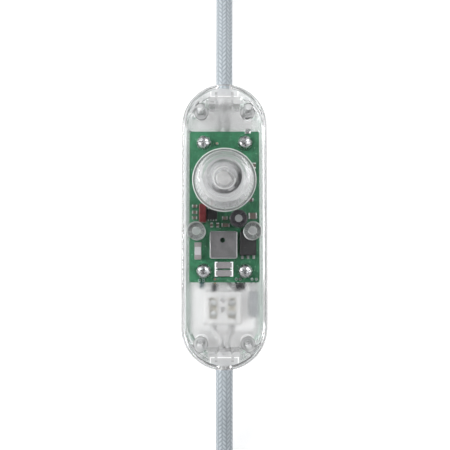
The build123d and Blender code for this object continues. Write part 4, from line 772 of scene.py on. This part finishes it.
def braid_material():
    """Textile braid: diagonal strands that change direction from column to column."""
    s = Shader("braid")
    uv = s.node("SeparateXYZ", {0: s.node("UVMap").outputs[0]})
    along = s.math("DIVIDE", uv.outputs[0], BRAID_PITCH * MM)
    around = s.times(uv.outputs[1], float(BRAID_COLUMNS))
    column = s.math("FLOOR", around)
    inside = s.math("SUBTRACT", around, column)
    odd = s.math("MODULO", column, 2.0)
    sign = s.math("SUBTRACT", s.times(odd, 2.0), 1.0)
    slope = s.times(inside, sign, STRAND_SLOPE)
    phase = s.math("ADD", s.math("ADD", along, slope), s.times(odd, 0.5))
    strand = s.math("FLOOR", phase)
    across = s.math("SUBTRACT", phase, strand)
    crown = s.math("SINE", s.times(across, math.pi))
    shoulder = s.math("SINE", s.times(inside, math.pi))
    height = s.times(s.math("POWER", crown, 0.6), s.math("POWER", shoulder, 0.35))
    fibre = s.math("SINE", s.times(phase, 2 * math.pi * FIBRES))
    full = s.math("ADD", height, s.times(fibre, 0.06))
    key = s.node("CombineXYZ", {0: strand, 1: column, 2: 0.0}).outputs[0]
    chance = s.node("TexWhiteNoise", {"Vector": key}, noise_dimensions="3D").outputs[0]
    # Painted shade: the strands are darker in the grooves between them and paler on their crowns
    groove_shade = (0.29, 0.33, 0.365)
    pale = (0.56, 0.61, 0.65)
    middle = (0.37, 0.415, 0.45)
    tone = s.mix(s.ramp(height, 0.25, 0.95), groove_shade, pale)
    tone = s.mix(s.times(chance, 0.35), tone, middle)
    shader = s.principled(
        Base_Color=tone,
        Roughness=0.62,
        Sheen_Weight=0.35,
        Sheen_Roughness=0.4,
        Specular_IOR_Level=0.35,
        Normal=s.bump(full, 0.16),
    )
    return s.finish(shader)


# Board. Its side and rim are in millimetres, its scales are per millimetre, and an edge is where
# a pattern starts and ends
BOARD_SIDE_X = 14.05
BOARD_RIM = 0.04
TRACE_GRID = (0.55, 0.28, 0.55)
TRACE_EDGE = (0.035, 0.055)
AREA_SCALE = 0.16
AREA_EDGE = (0.49, 0.50)
AREA_GAP = (0.08, 0.1)
VIA_SCALE = 0.55
VIA_EDGE = (0.10, 0.14)


def board_material():
    """Green board: glossy solder mask over faint copper traces and areas, and via dots."""
    s = Shader("board")
    place = s.coords()
    weave = s.node(
        "TexVoronoi",
        {"Vector": s.coords(TRACE_GRID), "Scale": 1.0},
        distance="MANHATTAN",
        feature="DISTANCE_TO_EDGE",
    ).outputs[0]
    trace = s.fall(weave, *TRACE_EDGE)
    area = s.ramp(s.noise(AREA_SCALE, 1.0), *AREA_EDGE)
    copper_under = s.most(s.times(area, s.ramp(weave, *AREA_GAP)), trace)
    dots = s.node("TexVoronoi", {"Vector": place, "Scale": VIA_SCALE, "Randomness": 0.9}).outputs[0]
    via = s.fall(dots, *VIA_EDGE)
    mask = s.mix(copper_under, (0.015, 0.100, 0.046), (0.027, 0.155, 0.073))
    mask = s.mix(s.times(s.noise(2.5, 3.0), 0.35), mask, (0.020, 0.122, 0.057))
    tone = s.mix(via, mask, (0.18, 0.33, 0.22))
    across = s.math("ABSOLUTE", s.node("SeparateXYZ", {0: place}).outputs[0])
    rim = s.ramp(across, BOARD_SIDE_X, BOARD_SIDE_X + BOARD_RIM)
    tone = s.mix(rim, tone, (0.33, 0.38, 0.20))
    rise = s.math("ADD", copper_under, s.times(via, 0.8))
    shader = s.principled(
        Base_Color=tone,
        Roughness=0.32,
        Coat_Weight=0.4,
        Coat_Roughness=0.1,
        Normal=s.bump(rise, 0.03),
    )
    return s.finish(shader)


# Materials
clear_cover = cover_plastic()
clear_tray = tray_plastic()
clear_knob = knob_plastic()
clear_clamp = clamp_plastic()
steel = metal("steel", (0.72, 0.72, 0.73), 0.22, scale=1.2)
zinc = metal("zinc", (0.70, 0.71, 0.71), 0.58, scale=2.0)
tin = metal("tin", (0.78, 0.78, 0.79), 0.30, scale=2.5, relief=0.01)
screw_steel = domed_steel()
can_grey = can_metal()
can_aluminium = metal("can_aluminium", (0.52, 0.53, 0.53), 0.36, scale=3.0)
brass = metal("brass", (0.66, 0.64, 0.58), 0.62, (0.2, 1.0, 1.0), 4.0)
copper = metal("copper", (0.80, 0.47, 0.30), 0.35, (1.0, 0.2, 1.0), 6.0)
nickel = metal("nickel", (0.78, 0.76, 0.72), 0.20, scale=3.0)
turned = metal("turned", grey(0.70), 0.62, (1.0, 1.0, 6.0), 3.0)
sleeve = moulded("sleeve", (0.020, 0.018, 0.022), 0.28, 0.10, 0.006, 2.0, 0.4)
red_case = moulded("red_case", (0.10, 0.012, 0.014), 0.30, 0.12, 0.03, 1.2, 0.4)
black_case = moulded("black_case", (0.006, 0.006, 0.007), 0.55, 0.15, 0.012, 6.0)
fuse_case = moulded("fuse_case", (0.35, 0.35, 0.36), 0.55, 0.06, 0.01, 5.0)
resistor_case = moulded("resistor_case", (0.22, 0.21, 0.215), 0.45, 0.10, 0.01, 4.0, 0.2)
dull_cap = moulded("dull_cap", (0.20, 0.185, 0.185), 0.45, 0.10, 0.01, 4.0)
white_cap = moulded("white_cap", (0.86, 0.87, 0.87), 0.4, 0.03, 0.01, 4.0)
dark_chip = moulded("dark_chip", (0.12, 0.09, 0.075), 0.5, 0.12, 0.01, 5.0)
ferrite = moulded("ferrite", (0.055, 0.055, 0.058), 0.6, 0.15, 0.02, 4.0)
disc_coat = moulded("disc_coat", (0.06, 0.12, 0.13), 0.4, 0.10, 0.02, 2.0, 0.3)
grey_case = moulded("grey_case", (0.30, 0.31, 0.32), 0.5, 0.08, 0.01, 4.0)
ivory = moulded("terminal_plastic", (0.52, 0.52, 0.515), 0.45, 0.03, 0.008, 4.0)
core_grey = moulded("core_grey", grey(0.40), 0.38, 0.03, 0.006, 2.0)
core_black = moulded("core_black", (0.025, 0.025, 0.028), 0.40, 0.10, 0.006, 2.0)
sheath_grey = moulded("sheath_grey", grey(0.30), 0.42, 0.04, 0.01, 1.5)
strap = moulded("strap", (0.80, 0.81, 0.82), 0.55, 0.05, 0.03, 2.5)
plug_white = moulded("plug_white", (0.80, 0.81, 0.82), 0.36, 0.03, 0.012, 2.5)
pot_black = moulded("pot_black", (0.030, 0.030, 0.033), 0.45, 0.12, 0.01, 4.0)
track_dark = moulded("track_dark", (0.05, 0.045, 0.042), 0.5, 0.15, 0.01, 5.0)
pad_soft = moulded("pad_soft", (0.60, 0.63, 0.62), 0.5, 0.04, 0.01, 2.0)
braid = braid_material()
board = board_material()

LOOKS = {
    clear_cover: ("upper_shell",),
    clear_tray: ("lower_shell",),
    clear_knob: ("knob",),
    clear_clamp: ("mains_cord_clamp", "lamp_cord_clamp"),
    board: ("circuit_board",),
    screw_steel: ("board_screws",),
    steel: ("pot_bushing",),
    zinc: ("housing_screws", "terminal_screws"),
    pad_soft: ("press_pads",),
    tin: ("solder_joints", "pot_terminals"),
    can_grey: ("shield_can",),
    can_aluminium: ("capacitor_can", "pot_cover"),
    sleeve: ("capacitor_sleeve",),
    red_case: ("film_capacitor",),
    black_case: ("control_chip", "power_package"),
    fuse_case: ("chip_fuse",),
    resistor_case: ("power_resistors",),
    dark_chip: ("small_chips",),
    ferrite: ("suppression_choke",),
    disc_coat: ("varistor",),
    grey_case: ("suppression_capacitor",),
    ivory: ("terminal_block",),
    brass: ("terminal_inserts", "wiper"),
    copper: ("core_conductors",),
    core_grey: (
        "mains_live_core",
        "mains_neutral_core",
        "lamp_live_core",
        "lamp_neutral_core",
        "lamp_core_ends",
    ),
    core_black: ("board_lead", "plug_sleeves"),
    sheath_grey: ("mains_sheath_end", "lamp_sheath_end"),
    pot_black: ("pot_body",),
    track_dark: ("pot_track",),
    turned: ("pot_shaft",),
    strap: ("mains_tie", "lamp_tie"),
    plug_white: ("plug_relief", "plug_body"),
    nickel: ("plug_pins",),
}
for look, names in LOOKS.items():
    for name in names:
        slots = nodes[name].material_slots
        if slots:
            for held in slots:
                held.material = look
        else:
            nodes[name].data.materials.append(look)
mains_braid.data.materials.append(braid)
lamp_braid.data.materials.append(braid)


# Metal ends of the chips. Places and sizes are in millimetres
CHIP_HEIGHT = 0.7
CAP_PROUD = 0.06
CAP_DEPTH = 0.42
CAP_SKIN = 0.05
CAP_BEVEL = 0.09
BEVEL_STEPS = 2
BEVEL_PROFILE = 0.6


def box_into(bm, low, high, bevel):
    """Add a box with bevelled edges to a bmesh. Places are in millimetres."""
    centre = [(a + b) / 2 * MM for a, b in zip(low, high)]
    size = [(b - a) * MM for a, b in zip(low, high)]
    matrix = Matrix.Translation(centre) @ Matrix.Diagonal((*size, 1.0))
    made = bmesh.ops.create_cube(bm, size=1.0, matrix=matrix)
    edges = list(dict.fromkeys(edge for vertex in made["verts"] for edge in vertex.link_edges))
    bmesh.ops.bevel(
        bm,
        geom=edges,
        offset=bevel * MM,
        segments=BEVEL_STEPS,
        profile=BEVEL_PROFILE,
        affect="EDGES",
    )


def boxes(name, look, boxes_mm, bevel):
    """Make one piece out of several bevelled boxes, each (low, high)."""
    def build(bm):
        for low, high in boxes_mm:
            box_into(bm, low, high, bevel)
    obj = link(mesh_of(name, build), name, HOUSING)
    obj.data.materials.append(look)


def on_board(x, y, half_x, half_y, height):
    """Box that stands on the board round a place, as (low, high)."""
    return ((x - half_x, y - half_y, BOARD_TOP), (x + half_x, y + half_y, BOARD_TOP + height))


def cap(x, y, length, width, side):
    """Cap on one end of a small chip, an end of its longer way."""
    reach = (max(length, width) + CAP_PROUD - CAP_DEPTH) / 2 * side
    half_depth = (CAP_PROUD + CAP_DEPTH) / 2
    half_width = min(length, width) / 2 + CAP_SKIN
    height = CHIP_HEIGHT + CAP_SKIN
    if length >= width:
        return on_board(x + reach, y, half_depth, half_width, height)
    return on_board(x, y + reach, half_width, half_depth, height)


SIDES = (-1, 1)

# Each chip's middle x and y, its length along x and its width along y
SMALL_CHIPS = [
    (11.4, 4.4, 3.2, 2.4),
    (10.4, 10.9, 2.4, 1.3),
    (12.0, 24.8, 1.3, 2.2),
    (-5.2, 0.7, 1.0, 1.8),
    (-2.7, 0.7, 1.0, 1.8),
    (0.5, 0.7, 3.2, 1.4),
    (-12.0, 8.3, 2.0, 1.1),
    (-12.0, 5.9, 2.0, 1.1),
    (-12.0, 3.7, 2.0, 1.1),
    (0.2, 3.5, 2.2, 1.3),
]
ends = [cap(*chip, side) for chip in SMALL_CHIPS for side in SIDES]
boxes("chip_ends", tin, ends, CAP_BEVEL)

# Legs. Each size is half the length across, half the length along, and the height
PACKAGE_X = 9.45
PACKAGE_LEG_Y = -12.15
PACKAGE_PITCH = 2.3
PACKAGE_LEG = (0.48, 0.75, 0.54)
CHIP_X = -4.95
CHIP_Y = 5.1
CHIP_PITCH = 1.05
CHIP_LEG_REACH = 2.325
CHIP_LEG = (0.23, 0.42, 0.53)
LEG_BEVEL = 0.05
legs = [on_board(PACKAGE_X + PACKAGE_PITCH * step, PACKAGE_LEG_Y, *PACKAGE_LEG) for step in (-1, 0, 1)]
for column in (-1.5, -0.5, 0.5, 1.5):
    for side in SIDES:
        x = CHIP_X + CHIP_PITCH * column
        legs.append(on_board(x, CHIP_Y + CHIP_LEG_REACH * side, *CHIP_LEG))
boxes("chip_legs", tin, legs, LEG_BEVEL)

# Ends of the fuse
FUSE_X = -10.6
FUSE_Y = -9.7
FUSE_END_REACH = 2.49
FUSE_END = (1.37, 0.94, 1.67)
FUSE_BEVEL = 0.12
fuse_ends = [on_board(FUSE_X, FUSE_Y + FUSE_END_REACH * side, *FUSE_END) for side in SIDES]
boxes("fuse_ends", dull_cap, fuse_ends, FUSE_BEVEL)

# Ends of the two resistors: a cap with two lips each, and a link between the caps of a side
RESISTOR_X = -0.2
RESISTOR_YS = (-15.4, -18.6)
LINK_Y = -17.0
CAP_REACH = 3.405
CAP_SIZE = (0.255, 1.36, 1.17)
LIP_REACH = (2.9, 1.155)
LIP_SIZE = (0.3, 0.205, 1.17)
LINK_REACH = 3.43
LINK_SIZE = (0.23, 0.3, 0.4)
RESISTOR_BEVEL = 0.08
resistor_ends = []
for side in SIDES:
    for y in RESISTOR_YS:
        resistor_ends.append(on_board(RESISTOR_X + CAP_REACH * side, y, *CAP_SIZE))
        for edge in SIDES:
            x = RESISTOR_X + LIP_REACH[0] * side
            resistor_ends.append(on_board(x, y + LIP_REACH[1] * edge, *LIP_SIZE))
    resistor_ends.append(on_board(RESISTOR_X + LINK_REACH * side, LINK_Y, *LINK_SIZE))
boxes("resistor_ends", white_cap, resistor_ends, RESISTOR_BEVEL)


# Stage, lamps and world. Places and sizes are in metres
FLOOR_HALF = 3.0
FLOOR_DROP = 0.0002
FLOOR_PAINT = 0.80
FLOOR_GLOW = 0.50
# Grey levels of the world by height, first its two ends and then what lies between them
WORLD_ENDS = ((0.0, 0.40), (0.90, 0.05))
WORLD_BETWEEN = ((0.25, 0.48), (0.55, 0.62), (0.72, 0.40))
# Each lamp's place, the side of its square in metres, and its power in watts
KEY_LAMP = ((-0.66, 0.12, 0.36), 0.35, 4.9)
FILL_LAMP = ((0.5, 0.3, 0.6), 0.5, 3.8)


def add_floor():
    """A pale floor that shows white to the camera but keeps a soft contact shadow."""
    def build(bm):
        turns = ((-1, -1), (1, -1), (1, 1), (-1, 1))
        corners = [(x * FLOOR_HALF, y * FLOOR_HALF, -FLOOR_DROP) for x, y in turns]
        bm.faces.new([bm.verts.new(corner) for corner in corners])
    floor = bpy.data.objects.new("floor", mesh_of("floor", build))
    bpy.context.scene.collection.objects.link(floor)
    s = Shader("floor")
    path = s.node("LightPath")
    seen = s.math("ADD", path.outputs["Is Camera Ray"], path.outputs["Is Glossy Ray"])
    seen = s.math("ADD", seen, path.outputs["Is Transmission Ray"], clamp=True)
    paint = s.node("BsdfDiffuse", {"Color": (*grey(FLOOR_PAINT), 1.0)})
    glow = s.node("Emission", {"Color": (*grey(1.0), 1.0), "Strength": FLOOR_GLOW})
    lit = s.node("AddShader", {0: paint.outputs[0], 1: glow.outputs[0]})
    floor.data.materials.append(s.finish(s.blend(seen, paint, lit)))


def add_lamp(name, place, size, power):
    """A square soft lamp that faces the middle of the housing."""
    data = bpy.data.lights.new(name, "AREA")
    data.shape = "SQUARE"
    data.size = size
    data.energy = power
    lamp = bpy.data.objects.new(name, data)
    bpy.context.scene.collection.objects.link(lamp)
    lamp.location = place
    lamp.rotation_euler = (-Vector(place)).to_track_quat("-Z", "Y").to_euler()


def add_world():
    """Soft surroundings: mid grey at the horizon, bright at mid height, dark overhead."""
    world = bpy.data.worlds.new("studio")
    bpy.context.scene.world = world
    world.use_nodes = True
    tree = world.node_tree
    tree.nodes.clear()
    out = tree.nodes.new("ShaderNodeOutputWorld")
    place = tree.nodes.new("ShaderNodeTexCoord")
    split = tree.nodes.new("ShaderNodeSeparateXYZ")
    ramp = tree.nodes.new("ShaderNodeValToRGB")
    ramp.color_ramp.interpolation = "EASE"
    stops = ramp.color_ramp.elements
    for stop, (position, level) in zip(stops, WORLD_ENDS):
        stop.position = position
        stop.color = (*grey(level), 1.0)
    for position, level in WORLD_BETWEEN:
        stops.new(position).color = (*grey(level), 1.0)
    background = tree.nodes.new("ShaderNodeBackground")
    tree.links.new(place.outputs["Generated"], split.inputs[0])
    tree.links.new(split.outputs[2], ramp.inputs[0])
    tree.links.new(ramp.outputs[0], background.inputs["Color"])
    tree.links.new(background.outputs[0], out.inputs["Surface"])


add_floor()
add_world()
add_lamp("key", *KEY_LAMP)
add_lamp("fill", *FILL_LAMP)

bpy.context.scene.view_settings.view_transform = "Standard"
